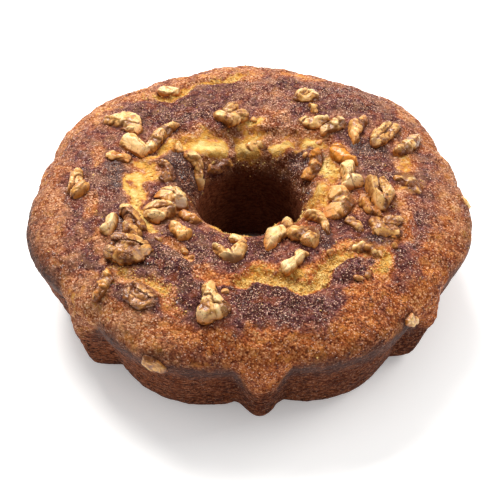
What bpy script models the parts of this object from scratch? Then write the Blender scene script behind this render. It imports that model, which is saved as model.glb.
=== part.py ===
"""Cinnamon walnut ring cake, baked in a fluted tube pan and turned out with its walnut side up.

The cake is one solid: a torus whose sections follow PROFILE, with pan flutes on its side, a risen
dome, torn cracks and an uneven crust. Each chopped walnut is a solid of its own that rests on it.
Units are metres, +Z is up, and the origin is the centre of the base.
"""
import math

import bmesh
import bpy
from mathutils import Matrix, Vector, noise

MM = 0.001

# Driving dimensions, in millimetres
TOP_HEIGHT = 70.5        # crown of the dome above the base
FLUTES = 7               # narrow ridges round the side, with a wide lobe between each two
RIDGE_START = 2.5        # azimuth of the first ridge, degrees from the front, +X at 90
RIDGE_JITTER = 1.6       # how far a ridge strays from its even place, degrees
RIDGE_HALF = 7.6         # half the angle that a ridge takes, to the bottom of its notch
FLUTE_RIM = 2.7          # flute depth at the rim, either way
FLUTE_SIDE = 4.6         # flute depth low on the side, either way
FLUTE_END_Z = 69.0       # height where the flutes have faded out on the dome
FLUTE_RIM_Z = 56.0       # height of the rim, down to which they grow
FLUTE_FULL_Z = 34.0      # height below which they have their full depth
RIDGE_SHARE = (-0.3, 1.0)  # how far a ridge's crest stands out at the rim and low down, in depths
LOBE_SHARE = (1.0, 0.45)   # the same for the crest of a lobe
LOBE_ROUND = 0.85        # below 1 a lobe is fuller near its notches
OVAL = 0.985             # width of the ring over its depth
SIDE_SHIFT = -0.5        # how far the ring lies towards -X
BACK_RISE = 2.6          # how much higher the dome rose at the back
BACK_Y = 110.0           # how far back it has its full rise
BACK_Z = (30.0, 60.0)    # heights between which the rise grows from nothing
MIDDLE = (0.09, 1.46)    # middle of the bounding box in plan, moved onto the origin at the end
CRUST_UNEVEN = 1.1       # height of the broad swells of the crust
CRUST_LUMP = 0.5         # height of the small lumps of the crust
BIT_WIDTH = 0.75         # width of a small walnut bit over its length
BIT_THICKNESS = 0.7      # thickness of a small walnut bit over its length
SWELL_SIZE = 26.0        # width of a broad swell
LUMP_SIZE = 8.0          # width of a small lump
EVEN_BELOW = 8.0         # height over which the unevenness grows from the flat base
GAP = 0.35               # gap between a walnut and what it rests on
NUT_SINK = 3.0           # how far the knobs of a walnut reach down before the cake cuts them
NUT_VOXEL = 1.3          # size of the grid that fuses the knobs of a walnut
NUT_FACES = 56           # triangles that a walnut has before it is cut

RING_SEGMENTS = 105      # fifteen for each flute

# Section of the ring as (radius, height): outer base, side, rim, dome, hole and flat base.
PROFILE = [
    (103.0, 1.4), (108.6, 5.5), (111.5, 12.0), (114.8, 22.0), (118.3, 32.0), (121.5, 41.5),
    (123.7, 48.5), (124.0, 53.0), (122.0, 57.4), (118.0, 61.0), (112.0, 64.6), (104.0, 67.6),
    (93.0, 69.7), (78.0, TOP_HEIGHT), (60.0, 70.0), (48.5, 68.4), (41.0, 65.8), (35.8, 62.2),
    (32.0, 57.8), (29.8, 52.5), (28.8, 46.0), (28.5, 38.0), (28.6, 27.0), (29.0, 14.0),
    (30.5, 5.0), (36.0, 1.0), (46.0, 0.0), (92.0, 0.0),
]
SIDE_START = 0           # first PROFILE point of the side
RIM = 7                  # PROFILE point of the widest ring
DOME_TOP = 13            # PROFILE point of the crown
SIDE_NUT_END = 10        # last PROFILE point that a walnut of the side can lie at
LIP_START = 14           # first PROFILE point that a walnut of the lip can lie at
LIP = 19                 # PROFILE point where the dome has become the wall of the hole
FLAT_START = 26          # PROFILE points of the flat that the cake rests on
FLAT_END = 27
# Stretches of PROFILE from one point to the next, and how many rings of vertices each has
STRETCHES = [(SIDE_START, RIM, 6), (RIM, LIP, 18), (LIP, FLAT_START, 5), (FLAT_START, FLAT_END, 1),
             (FLAT_END, len(PROFILE), 1)]
SECTION_SEGMENTS = sum(rings for start, end, rings in STRETCHES)

# Torn cracks of the crust: width, depth, and the points of the middle line
CRACK_FLAT = 0.2         # half width of a crack's floor, in crack widths
CRACK_EDGE = 0.62        # half width at which a crack meets the crust, in crack widths
CRACKS = {
    "front": (10.0, 2.6, [(-4, -80), (3, -73), (12, -76), (22, -77), (27, -83), (38, -81),
                          (39, -70), (46, -61), (54, -57), (61, -56)]),
    "back_left": (7.0, 2.4, [(-55, 77), (-47, 75), (-40, 82), (-36, 91), (-24, 94), (-12, 93),
                             (-5, 102)]),
    "left": (15.0, 1.8, [(-62, 12), (-64, -2), (-60, -14), (-58, -26), (-52, -38)]),
    "left_front": (7.0, 1.4, [(-66, -74), (-52, -78), (-43, -83), (-40, -94)]),
    "right_front": (12.0, 1.4, [(68, -60), (70, -71)]),
    "near_left": (5.0, 1.2, [(-45, -50), (-34, -57), (-28, -67), (-23, -75)]),
    "hole_rim": (13.0, 3.0, [(-38, 34), (-25, 38), (-10, 42), (3, 44), (15, 42), (30, 39),
                             (42, 34)]),
}

# Lumps that stand out of the dome: x, y, radius, height
LUMPS = [(17, -32, 12, 4.5)]

# Walnut shapes. Each is a list of chains of knobs, and a knob is (along, across, radius, top):
# along in lengths, across and radius in widths, top in heights.
SHAPES = {
    "wedge": [[(-0.42, -0.05, 0.16, 0.7), (0.0, 0.08, 0.40, 0.9), (0.18, 0.0, 0.40, 0.9)],
              [(0.15, -0.10, 0.30, 0.8), (0.40, -0.22, 0.24, 0.8)]],
    "chip": [[(-0.28, 0.06, 0.44, 1.0), (0.26, -0.12, 0.38, 0.9)]],
    "leaf": [[(-0.40, 0.10, 0.26, 0.7), (-0.12, 0.16, 0.42, 1.0), (0.22, -0.08, 0.38, 0.9),
              (0.42, -0.28, 0.24, 0.8)]],
    "trefoil": [[(-0.38, 0.0, 0.26, 0.8), (-0.08, -0.28, 0.26, 0.9), (0.36, -0.12, 0.26, 0.9)],
                [(-0.08, 0.06, 0.26, 0.9), (0.16, 0.34, 0.20, 1.0)]],
    "arc": [[(-0.42, -0.10, 0.42, 0.9), (-0.24, 0.30, 0.38, 1.0), (0.10, 0.20, 0.34, 0.9),
             (0.44, -0.20, 0.28, 0.8)]],
    "stick": [[(-0.36, 0.02, 0.44, 0.9), (0.0, 0.10, 0.36, 0.9), (0.36, -0.04, 0.46, 1.0)]],
    "claw": [[(0.24, 0.0, 0.36, 0.9), (-0.40, -0.26, 0.14, 0.8)],
             [(0.24, 0.0, 0.36, 1.0), (-0.38, 0.04, 0.15, 0.9)],
             [(0.26, 0.05, 0.34, 0.9), (-0.22, 0.34, 0.17, 1.0)]],
    "clump": [[(-0.30, 0.12, 0.28, 0.9), (0.0, 0.22, 0.22, 0.8), (0.30, 0.06, 0.26, 1.0)],
              [(-0.26, -0.20, 0.24, 0.8), (0.08, -0.22, 0.26, 0.9), (0.30, 0.0, 0.24, 0.8)]],
    "quarter": [[(-0.34, 0.14, 0.22, 0.8), (-0.30, -0.20, 0.22, 0.9), (0.0, -0.32, 0.22, 0.9),
                 (0.32, -0.14, 0.22, 0.9), (0.28, 0.20, 0.18, 0.9), (-0.04, 0.30, 0.20, 1.0),
                 (-0.30, 0.20, 0.20, 0.8)], [(-0.10, 0.0, 0.28, 0.55), (0.14, 0.0, 0.28, 0.55)]],
    "drop": [[(-0.40, 0.0, 0.22, 0.7), (-0.05, 0.0, 0.36, 0.9), (0.22, 0.0, 0.48, 1.0)]],
    "club": [[(-0.42, 0.14, 0.20, 0.9), (-0.10, 0.06, 0.22, 1.0), (0.20, 0.22, 0.26, 0.9)],
             [(0.0, 0.0, 0.26, 0.9), (0.26, -0.20, 0.28, 0.8), (0.22, 0.22, 0.26, 0.8)]],
    "vee": [[(-0.40, 0.36, 0.15, 0.8), (0.0, 0.16, 0.24, 1.0), (0.32, 0.0, 0.24, 0.9)],
            [(-0.32, -0.36, 0.13, 0.8), (0.05, -0.18, 0.20, 0.8), (0.32, 0.0, 0.24, 0.9)]],
    "fork": [[(-0.40, 0.0, 0.30, 1.0), (0.0, 0.0, 0.22, 0.9), (0.36, -0.24, 0.24, 0.8)],
             [(0.02, 0.05, 0.22, 0.9), (0.22, 0.46, 0.24, 0.8)]],
    "twin": [[(-0.42, 0.10, 0.34, 1.0), (-0.10, -0.20, 0.28, 0.9), (0.12, -0.34, 0.26, 0.8)],
             [(-0.10, 0.16, 0.26, 0.8), (0.22, 0.24, 0.32, 1.0), (0.40, -0.06, 0.30, 0.9)]],
    "mass": [[(-0.28, -0.10, 0.36, 1.0), (0.06, 0.16, 0.38, 0.9), (0.28, -0.12, 0.36, 0.9)]],
}

# Walnuts on the dome: shape, x, y, heading in degrees, length, width, height. A negative width
# turns the shape over.
DOME_NUTS = [
    ("wedge", -74, 51, -20, 27, 20, 4.5),
    ("chip", -66, 29, -32, 20, 14, 5.0),
    ("leaf", -52, 38, -128, 32, -11, 5.5),
    ("chip", -75, 19, 0, 15, 10, 3.0),
    ("twin", -97, -4, -78, 23, 14, 5.5),
    ("trefoil", -12, 58, 13, 21, 19, 6.5),
    ("chip", -49, 82, 8, 15, 9, 2.5),
    ("arc", -31, 19, -56, 25, 9, 5.0),
    ("stick", -18, 27, -140, 18, 8, 4.0),
    ("chip", -42, 30, -88, 12, 7, 4.5),
    ("mass", -47, 10, -84, 21, 11, 3.0),
    ("claw", -42, -13, -42, 19, 17, 6.5),
    ("clump", -49, -26, -12, 19, 18, 6.0),
    ("chip", -33, -28, -26, 14, 9, 3.5),
    ("drop", -38, -43, -47, 16, 10, 5.5),
    ("twin", -63, -37, -72, 29, -13, 6.5),
    ("stick", -75, -37, -104, 16, 8, 5.0),
    ("quarter", -64, -58, -12, 27, 20, 7.5),
    ("leaf", -75, -78, -100, 21, 11, 4.0),
    ("quarter", -56, -88, -38, 21, 15, 3.0),
    ("club", -20, -93, -72, 27, 19, 7.5),
    ("vee", -9, -59, -80, 18, 20, 6.0),
    ("drop", 13, -46, 70, 23, 12, 6.0),
    ("mass", 30, -45, -38, 19, 15, 7.0),
    ("stick", 24, -64, -124, 22, 8, 5.5),
    ("arc", 39, -32, -58, 24, 8, 5.0),
    ("mass", 50, -19, -100, 26, 17, 7.0),
    ("fork", 57, 3, -84, 24, 13, 7.5),
    ("wedge", 53, 21, 132, 23, 14, 6.0),
    ("mass", 37, 19, -114, 24, 11, 5.0),
    ("wedge", 38, 52, -165, 20, 13, 5.5),
    ("leaf", 50, 48, -120, 20, 12, 6.5),
    ("wedge", 62, 44, 82, 27, 13, 5.0),
    ("clump", 78, 41, -124, 29, 13, 5.5),
    ("leaf", 92, 34, -112, 28, 12, 5.5),
    ("clump", 33, 75, -160, 16, 14, 5.0),
    ("chip", 38, 64, -67, 10, 6, 3.5),
    ("clump", 73, -12, -78, 27, -17, 8.5),
    ("arc", 66, -22, -66, 22, -9, 4.5),
    ("leaf", 89, 0, -10, 17, 16, 3.0),
    ("chip", 57, -35, -41, 13, 9, 3.0),
    ("trefoil", 74, -36, -38, 20, 21, 3.5),
    ("arc", 62, -53, -8, 21, 11, 3.0),
    ("stick", 3, 38, 20, 13, 9, 3.0),
]

# Walnuts in the side: shape, azimuth in degrees from the front, height, turn, length, width,
# how far they stand out
SIDE_NUTS = [
    ("chip", -22, 49, 10, 14, 14, 2.5),
    ("chip", 44, 53, -25, 13, 9, 2.5),
    ("chip", 89, 58, 60, 10, 9, 1.8),
]

# Walnuts on the lip of the hole: shape, azimuth, height, turn, length, width, standing out
LIP_NUTS = [
    ("stick", 33, 65.5, 60, 12, 7, 2.5),
    ("chip", -7.5, 67.8, 5, 11, 7, 3.0),
]

# Small walnut bits that are baked onto the crust: x, y, heading, length
BITS = [
    (-12, -86, 20, 5), (32, 28, 80, 5), (-34, -56, 130, 5), (-30, -61, 20, 4), (43, -57, 40, 5),
    (57, -75, 0, 5), (62, -72, 70, 6), (78, -51, 120, 5), (-48, -49, 150, 5), (40, 38, 30, 6),
    (2, 55, 10, 6),
]


def smooth_step(low, high, value):
    """0 on low's side, 1 on high's side, an even S between them."""
    share = min(1.0, max(0.0, (value - low) / (high - low)))
    return share * share * (3.0 - 2.0 * share)


def profile_point(place):
    """Point of the closed section at a place counted in PROFILE points, on a smooth curve."""
    count = len(PROFILE)
    index = math.floor(place)
    share = place - index
    if index % count in (FLAT_START, FLAT_END):
        before, after = PROFILE[index % count], PROFILE[(index + 1) % count]
        return tuple(a + (b - a) * share for a, b in zip(before, after))
    p0, p1, p2, p3 = (PROFILE[(index + step) % count] for step in (-1, 0, 1, 2))
    return tuple(0.5 * (2 * b + (c - a) * share + (2 * a - 5 * b + 4 * c - d) * share ** 2
                        + (3 * b - a - 3 * c + d) * share ** 3)
                 for a, b, c, d in zip(p0, p1, p2, p3))


def profile_normal(place):
    """Outward direction of the section at a place, as (radial, up)."""
    step = 0.05
    before, after = profile_point(place - step), profile_point(place + step)
    along = Vector((after[0] - before[0], after[1] - before[1])).normalized()
    return along.y, -along.x


def ring_places():
    """Place on the section of each ring of vertices, at even distances along each stretch."""
    fine = 24
    places = []
    for start, end, rings in STRETCHES:
        steps = [start + number / fine for number in range((end - start) * fine + 1)]
        points = [Vector(profile_point(step)) for step in steps]
        lengths = [0.0]
        for one, other in zip(points, points[1:]):
            lengths.append(lengths[-1] + (other - one).length)
        for ring in range(rings):
            wanted = lengths[-1] * ring / rings
            places.append(min(zip(lengths, steps), key=lambda pair: abs(pair[0] - wanted))[1])
    return places


def ridge_azimuths():
    """Azimuth of each ridge, evenly spaced but for a small stray."""
    pitch = 360.0 / FLUTES
    return [RIDGE_START + pitch * number + RIDGE_JITTER * math.sin(2.4 * number + 0.8)
            for number in range(FLUTES)]


def flute(azimuth, height):
    """How far the flutes push the side out: ridges lead low down, lobes lead at the rim."""
    low = smooth_step(FLUTE_RIM_Z, FLUTE_FULL_Z, height)
    ridge_crest, lobe_crest = (rim + (side - rim) * low for rim, side in (RIDGE_SHARE, LOBE_SHARE))
    half_pitch = 180.0 / FLUTES
    away = min(abs((azimuth - ridge + 180.0) % 360.0 - 180.0) for ridge in ridge_azimuths())
    if away < RIDGE_HALF:
        rise = (1.0 + ridge_crest) * (0.5 + 0.5 * math.cos(math.pi * away / RIDGE_HALF))
    else:
        share = min(1.0, (away - RIDGE_HALF) / (half_pitch - RIDGE_HALF))
        rise = (1.0 + lobe_crest) * math.sin(math.pi / 2 * share) ** LOBE_ROUND
    depth = FLUTE_RIM + (FLUTE_SIDE - FLUTE_RIM) * low
    return (rise - 1.0) * depth * smooth_step(FLUTE_END_Z, FLUTE_RIM_Z, height)


def distance_to_line(x, y, line):
    """Distance from a point to a line of several points."""
    point = Vector((x, y))
    nearest = math.inf
    for start, end in zip(line, line[1:]):
        start, run = Vector(start), Vector(end) - Vector(start)
        share = min(1.0, max(0.0, (point - start).dot(run) / run.length_squared))
        nearest = min(nearest, (point - start - run * share).length)
    return nearest


def crust_relief(x, y, z):
    """How far the swells and the small lumps make the crust stand out."""
    other_field = Vector((5, 9, 2))
    relief = CRUST_UNEVEN * noise.noise(Vector((x, y, z)) / SWELL_SIZE)
    relief += CRUST_LUMP * noise.noise(Vector((x, y, z)) / LUMP_SIZE + other_field)
    return relief


def crack_depth(x, y):
    """Depth of the torn cracks at a point of the dome."""
    depth = 0.0
    for width, deep, line in CRACKS.values():
        away = distance_to_line(x, y, line)
        edge = smooth_step(CRACK_FLAT * width, CRACK_EDGE * width, away)
        depth = max(depth, deep * (1.0 - edge))
    return depth


def lump_height(x, y):
    """Height of the lumps at a point of the dome."""
    return sum(high * (1.0 - smooth_step(0.0, radius, math.hypot(x - lump_x, y - lump_y)))
               for lump_x, lump_y, radius, high in LUMPS)


def cake_point(azimuth, place):
    """Point of the cake's skin in millimetres, from the azimuth and the place on its section."""
    radius, height = profile_point(place)
    radial, rise = profile_normal(place)
    on_outside = place < DOME_TOP or place >= FLAT_END
    on_base = FLAT_START <= place <= FLAT_END
    on_dome = RIM < place < LIP
    if on_outside:
        radius += flute(azimuth, height)
    angle = math.radians(azimuth)
    x, y = radius * math.sin(angle), -radius * math.cos(angle)
    out = 0.0
    if not on_base:
        out = crust_relief(x, y, height) * smooth_step(0.0, EVEN_BELOW, height)
    if on_dome:
        out += lump_height(x, y) - crack_depth(x, y)
    x += out * radial * math.sin(angle)
    y -= out * radial * math.cos(angle)
    height += out * rise + BACK_RISE * smooth_step(0.0, BACK_Y, y) * smooth_step(*BACK_Z, height)
    return Vector((x * OVAL + SIDE_SHIFT, y, max(0.0, height)))


def cake_frame(azimuth, place, turn):
    """Matrix, in metres, of a spot on the cake: +Z out of its skin, +X turned round that."""
    turn_step, place_step = 1.5, 0.3
    here = cake_point(azimuth, place)
    round_it = cake_point(azimuth + turn_step, place) - cake_point(azimuth - turn_step, place)
    over_it = cake_point(azimuth, place + place_step) - cake_point(azimuth, place - place_step)
    out = round_it.cross(over_it).normalized()
    across = round_it.normalized()
    along = out.cross(across)
    turn = math.radians(turn)
    heading = across * math.cos(turn) + along * math.sin(turn)
    axes = Matrix((heading, out.cross(heading), out)).transposed()
    return Matrix.Translation(here * MM) @ axes.to_4x4()


def dome_frame(x, y, heading):
    """Matrix of a spot of the dome, from its plan position and a heading seen from above."""
    azimuth = math.degrees(math.atan2(x, -y))
    low, high = float(RIM), float(LIP)
    for _ in range(30):
        middle = (low + high) / 2
        if profile_point(middle)[0] > math.hypot(x, y):
            low = middle
        else:
            high = middle
    return cake_frame(azimuth, low, heading - azimuth)


def wall_frame(azimuth, height, turn, first, last):
    """Matrix of a spot on the side or the lip, found by its height between two places."""
    low, high = float(first), float(last)
    rising = profile_point(high)[1] > profile_point(low)[1]
    for _ in range(30):
        middle = (low + high) / 2
        if (profile_point(middle)[1] < height) == rising:
            low = middle
        else:
            high = middle
    return cake_frame(azimuth, low, turn)


def new_material(name, colour, roughness):
    """Plain material of one colour."""
    material = bpy.data.materials.new(name)
    material.use_nodes = True
    shader = material.node_tree.nodes["Principled BSDF"]
    shader.inputs["Base Color"].default_value = (*colour, 1.0)
    shader.inputs["Roughness"].default_value = roughness
    shader.inputs["Metallic"].default_value = 0.0
    return material


def apply_modifiers(item):
    """Replace an object's mesh by what its modifiers make of it."""
    evaluated = item.evaluated_get(bpy.context.evaluated_depsgraph_get())
    mesh = bpy.data.meshes.new_from_object(evaluated)
    old_mesh = item.data
    item.modifiers.clear()
    item.data = mesh
    bpy.data.meshes.remove(old_mesh)


def grown_copy(item, name, collection):
    """Copy of an object whose skin is moved out by the gap, as a cutter."""
    mesh = item.data.copy()
    points = bmesh.new()
    points.from_mesh(mesh)
    points.normal_update()
    for vertex in points.verts:
        vertex.co += vertex.normal * GAP * MM
    points.to_mesh(mesh)
    points.free()
    cutter = bpy.data.objects.new(name, mesh)
    cutter.hide_render = True
    cutter.display_type = "WIRE"
    collection.objects.link(cutter)
    return cutter


def make_cake(collection, material):
    """The ring cake: a torus primitive whose vertices are moved onto the cake's skin."""
    middle_radius, tube_radius = 0.08, 0.04
    bpy.ops.mesh.primitive_torus_add(major_segments=RING_SEGMENTS, minor_segments=SECTION_SEGMENTS,
                                     major_radius=middle_radius, minor_radius=tube_radius)
    cake = bpy.context.object
    cake.name = cake.data.name = "cake"
    places = ring_places()
    for vertex in cake.data.vertices:
        x, y, z = vertex.co
        azimuth = math.degrees(math.atan2(x, -y))
        section_angle = math.atan2(z, math.hypot(x, y) - middle_radius) / math.tau
        ring = round(section_angle * SECTION_SEGMENTS) % SECTION_SEGMENTS
        vertex.co = cake_point(azimuth, places[ring]) * MM
    cake.modifiers.new("triangles", "TRIANGULATE")
    cake.data.materials.append(material)
    for home in list(cake.users_collection):
        home.objects.unlink(cake)
    collection.objects.link(cake)
    apply_modifiers(cake)
    cake.data.shade_smooth()
    return cake


def fuse_bits(cake, collection):
    """Join the small walnut bits to the cake by one union, and remove their own objects."""
    bits = bpy.data.collections.new("bits")
    collection.children.link(bits)
    for number, (x, y, heading, length) in enumerate(BITS, start=1):
        points = bmesh.new()
        half = length / 2 * MM
        size = Matrix.Diagonal((half, BIT_WIDTH * half, BIT_THICKNESS * half, 1.0))
        bmesh.ops.create_icosphere(points, subdivisions=1, radius=1.0, matrix=size)
        mesh = bpy.data.meshes.new(f"bit_{number:02d}")
        points.to_mesh(mesh)
        points.free()
        mesh.transform(dome_frame(x, y, heading))
        bits.objects.link(bpy.data.objects.new(mesh.name, mesh))
    union = cake.modifiers.new("bits", "BOOLEAN")
    union.operation = "UNION"
    union.operand_type = "COLLECTION"
    union.collection = bits
    cake.modifiers.new("triangles", "TRIANGULATE")
    apply_modifiers(cake)
    for item in list(bits.objects):
        bpy.data.objects.remove(item, do_unlink=True)
    bpy.data.collections.remove(bits)


def knobs_of(shape, length, width, height):
    """Knobs of a walnut that fill its length and width: (x, y, x radius, y radius, top)."""
    between = 4
    knobs = []
    for chain in SHAPES[shape]:
        for start, end in zip(chain, chain[1:]):
            for step in range(between + 1):
                share = step / between
                along, across, radius, top = (a + (b - a) * share for a, b in zip(start, end))
                knobs.append((along * length, across * width, radius * abs(width), top * height))
    ends = [[side * radius + knob[axis] for *knob, radius, top in knobs for side in (-1, 1)]
            for axis in (0, 1)]
    middles = [(min(values) + max(values)) / 2 for values in ends]
    scales = [size / (max(values) - min(values)) for size, values in zip((length, abs(width)), ends)]
    return [((x - middles[0]) * scales[0], (y - middles[1]) * scales[1],
             radius * scales[0], radius * scales[1], top) for x, y, radius, top in knobs]


def make_nut(name, frame, shape, length, width, height, collection, material):
    """Walnut piece: knobs fused by a voxel grid, smoothed and brought to few faces."""
    points = bmesh.new()
    for x, y, x_radius, y_radius, top in knobs_of(shape, length, width, height):
        half_height = (top + NUT_SINK) / 2
        size = Matrix.Diagonal((x_radius * MM, y_radius * MM, half_height * MM, 1.0))
        place = Matrix.Translation(Vector((x, y, top - half_height)) * MM)
        bmesh.ops.create_icosphere(points, subdivisions=2, radius=1.0, matrix=place @ size)
    mesh = bpy.data.meshes.new(name)
    points.to_mesh(mesh)
    points.free()
    nut = bpy.data.objects.new(name, mesh)
    collection.objects.link(nut)
    remesh = nut.modifiers.new("fuse", "REMESH")
    remesh.mode = "VOXEL"
    remesh.voxel_size = NUT_VOXEL * MM
    smooth = nut.modifiers.new("smooth", "SMOOTH")
    smooth.factor = 0.5
    smooth.iterations = 2
    apply_modifiers(nut)
    nut.data.transform(frame)
    decimate = nut.modifiers.new("fewer faces", "DECIMATE")
    decimate.ratio = min(1.0, NUT_FACES / (2 * len(nut.data.polygons)))
    apply_modifiers(nut)
    nut.data.materials.append(material)
    return nut


def keep_largest_island(item):
    """Drop the loose scraps that a cut leaves."""
    points = bmesh.new()
    points.from_mesh(item.data)
    left = set(points.verts)
    islands = []
    while left:
        island, front = set(), [left.pop()]
        while front:
            vertex = front.pop()
            island.add(vertex)
            for edge in vertex.link_edges:
                other = edge.other_vert(vertex)
                if other in left:
                    left.remove(other)
                    front.append(other)
        islands.append(island)
    largest = max(islands, key=len)
    bmesh.ops.delete(points, geom=[v for v in points.verts if v not in largest], context="VERTS")
    points.to_mesh(item.data)
    points.free()


def boxes_meet(one, other):
    """Whether the boxes round two meshes overlap."""
    for axis in range(3):
        a = [vertex.co[axis] for vertex in one.data.vertices]
        b = [vertex.co[axis] for vertex in other.data.vertices]
        if min(a) > max(b) or min(b) > max(a):
            return False
    return True


def cut_nut(nut, cutters):
    """Cut a walnut back from the cake and from the walnuts laid before it."""
    for cutter in cutters:
        if boxes_meet(nut, cutter):
            cut = nut.modifiers.new("cut", "BOOLEAN")
            cut.operation = "DIFFERENCE"
            cut.object = cutter
            apply_modifiers(nut)
            keep_largest_island(nut)


def main():
    for item in list(bpy.data.objects):
        bpy.data.objects.remove(item, do_unlink=True)
    cake_collection = bpy.data.collections.new("cinnamon walnut cake")
    cutter_collection = bpy.data.collections.new("cutters")
    bpy.context.scene.collection.children.link(cake_collection)
    bpy.context.scene.collection.children.link(cutter_collection)
    crust = new_material("baked crust", (0.26, 0.09, 0.035), 0.7)
    walnut = new_material("toasted walnut", (0.62, 0.36, 0.13), 0.45)

    cake = make_cake(cake_collection, crust)
    cutters = [grown_copy(cake, "cutter_cake", cutter_collection)]
    fuse_bits(cake, cake_collection)
    spots = [(shape, dome_frame(x, y, heading), *sizes)
             for shape, x, y, heading, *sizes in DOME_NUTS]
    spots += [(shape, wall_frame(azimuth, height, turn, SIDE_START, SIDE_NUT_END), *sizes)
              for shape, azimuth, height, turn, *sizes in SIDE_NUTS]
    spots += [(shape, wall_frame(azimuth, height, turn, LIP_START, LIP), *sizes)
              for shape, azimuth, height, turn, *sizes in LIP_NUTS]
    for number, (shape, frame, *sizes) in enumerate(spots, start=1):
        name = f"walnut_{number:02d}"
        nut = make_nut(name, frame, shape, *sizes, cake_collection, walnut)
        cut_nut(nut, cutters)
        cutters.append(grown_copy(nut, f"cutter_{number:02d}", cutter_collection))
    to_origin = Matrix.Translation(Vector((-MIDDLE[0], -MIDDLE[1], 0.0)) * MM)
    for item in [*cake_collection.objects, *cutter_collection.objects]:
        item.data.transform(to_origin)


main()
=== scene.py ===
"""Looks of the cinnamon walnut ring cake: crust, crumb, walnuts, cinnamon sugar, light and camera.

Every shape is worked out in millimetres in the cake's own plan, where azimuth 0 is the front (-Y)
and 90 is +X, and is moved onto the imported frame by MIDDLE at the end.
"""
import math

import bmesh
import bpy
import numpy as np
from mathutils import Matrix, Vector, kdtree, noise

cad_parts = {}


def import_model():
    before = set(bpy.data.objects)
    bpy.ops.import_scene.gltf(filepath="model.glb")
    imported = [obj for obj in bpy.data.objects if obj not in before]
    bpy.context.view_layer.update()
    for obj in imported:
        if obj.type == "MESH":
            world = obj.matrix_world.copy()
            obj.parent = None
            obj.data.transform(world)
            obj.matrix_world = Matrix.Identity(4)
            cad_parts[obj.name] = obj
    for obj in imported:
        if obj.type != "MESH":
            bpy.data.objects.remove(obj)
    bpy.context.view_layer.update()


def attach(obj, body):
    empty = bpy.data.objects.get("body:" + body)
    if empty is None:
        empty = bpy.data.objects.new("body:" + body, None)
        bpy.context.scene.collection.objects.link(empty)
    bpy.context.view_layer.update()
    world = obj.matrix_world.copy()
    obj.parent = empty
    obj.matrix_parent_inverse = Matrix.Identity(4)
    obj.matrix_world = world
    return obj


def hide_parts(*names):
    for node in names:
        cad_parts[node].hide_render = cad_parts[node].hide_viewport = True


MM = 0.001
SEED = 11

# The cake's form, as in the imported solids
TOP_HEIGHT = 70.5
FLUTES = 7
RIDGE_START = 2.5
RIDGE_JITTER = 1.6
RIDGE_HALF = 7.6
FLUTE_RIM = 2.7
FLUTE_SIDE = 4.6
FLUTE_END_Z = 69.0
FLUTE_RIM_Z = 56.0
FLUTE_FULL_Z = 34.0
RIDGE_SHARE = (-0.3, 1.0)
LOBE_SHARE = (1.0, 0.45)
LOBE_ROUND = 0.85
OVAL = 0.985
SIDE_SHIFT = -0.5
BACK_RISE = 2.6
BACK_Y = 110.0
BACK_Z = (30.0, 60.0)
MIDDLE = (0.09, 1.46)
CRUST_UNEVEN = 1.1
CRUST_LUMP = 0.5
SWELL_SIZE = 26.0
LUMP_SIZE = 8.0
EVEN_BELOW = 8.0
# Azimuth where the painted shade of the cake is darkest, on the side away from the key light
SHADED_SIDE = 25.0
BARE_SIDE = -72.0
PROFILE = [
    (103.0, 1.4), (108.6, 5.5), (111.5, 12.0), (114.8, 22.0), (118.3, 32.0), (121.5, 41.5),
    (123.7, 48.5), (124.0, 53.0), (122.0, 57.4), (118.0, 61.0), (112.0, 64.6), (104.0, 67.6),
    (93.0, 69.7), (78.0, TOP_HEIGHT), (60.0, 70.0), (48.5, 68.4), (41.0, 65.8), (35.8, 62.2),
    (32.0, 57.8), (29.8, 52.5), (28.8, 46.0), (28.5, 38.0), (28.6, 27.0), (29.0, 14.0),
    (30.5, 5.0), (36.0, 1.0), (46.0, 0.0), (92.0, 0.0),
]
SIDE_START = 0
RIM = 7
SIDE_NUT_END = 10
DOME_TOP = 13
LIP_START = 14
LIP = 19
FLAT_START = 26
FLAT_END = 27
CRACK_FLAT = 0.2
CRACK_EDGE = 0.62
CRACKS = {
    "front": (10.0, 2.6, [(-4, -80), (3, -73), (12, -76), (22, -77), (27, -83), (38, -81),
                          (39, -70), (46, -61), (54, -57), (61, -56)]),
    "back_left": (7.0, 2.4, [(-55, 77), (-47, 75), (-40, 82), (-36, 91), (-24, 94), (-12, 93),
                             (-5, 102)]),
    "left": (15.0, 1.8, [(-62, 12), (-64, -2), (-60, -14), (-58, -26), (-52, -38)]),
    "left_front": (7.0, 1.4, [(-66, -74), (-52, -78), (-43, -83), (-40, -94)]),
    "right_front": (12.0, 1.4, [(68, -60), (70, -71)]),
    "near_left": (5.0, 1.2, [(-45, -50), (-34, -57), (-28, -67), (-23, -75)]),
    "hole_rim": (13.0, 3.0, [(-38, 34), (-25, 38), (-10, 42), (3, 44), (15, 42), (30, 39),
                             (42, 34)]),
}
LUMPS = [(17, -32, 12, 4.5)]

# Grid of the fine cake mesh: vertices round it, and rings along each stretch of PROFILE
RING_SEGMENTS = 560
STRETCHES = [(SIDE_START, RIM, 46), (RIM, LIP, 108), (LIP, FLAT_START, 18),
             (FLAT_START, FLAT_END, 3), (FLAT_END, len(PROFILE), 3)]

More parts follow.
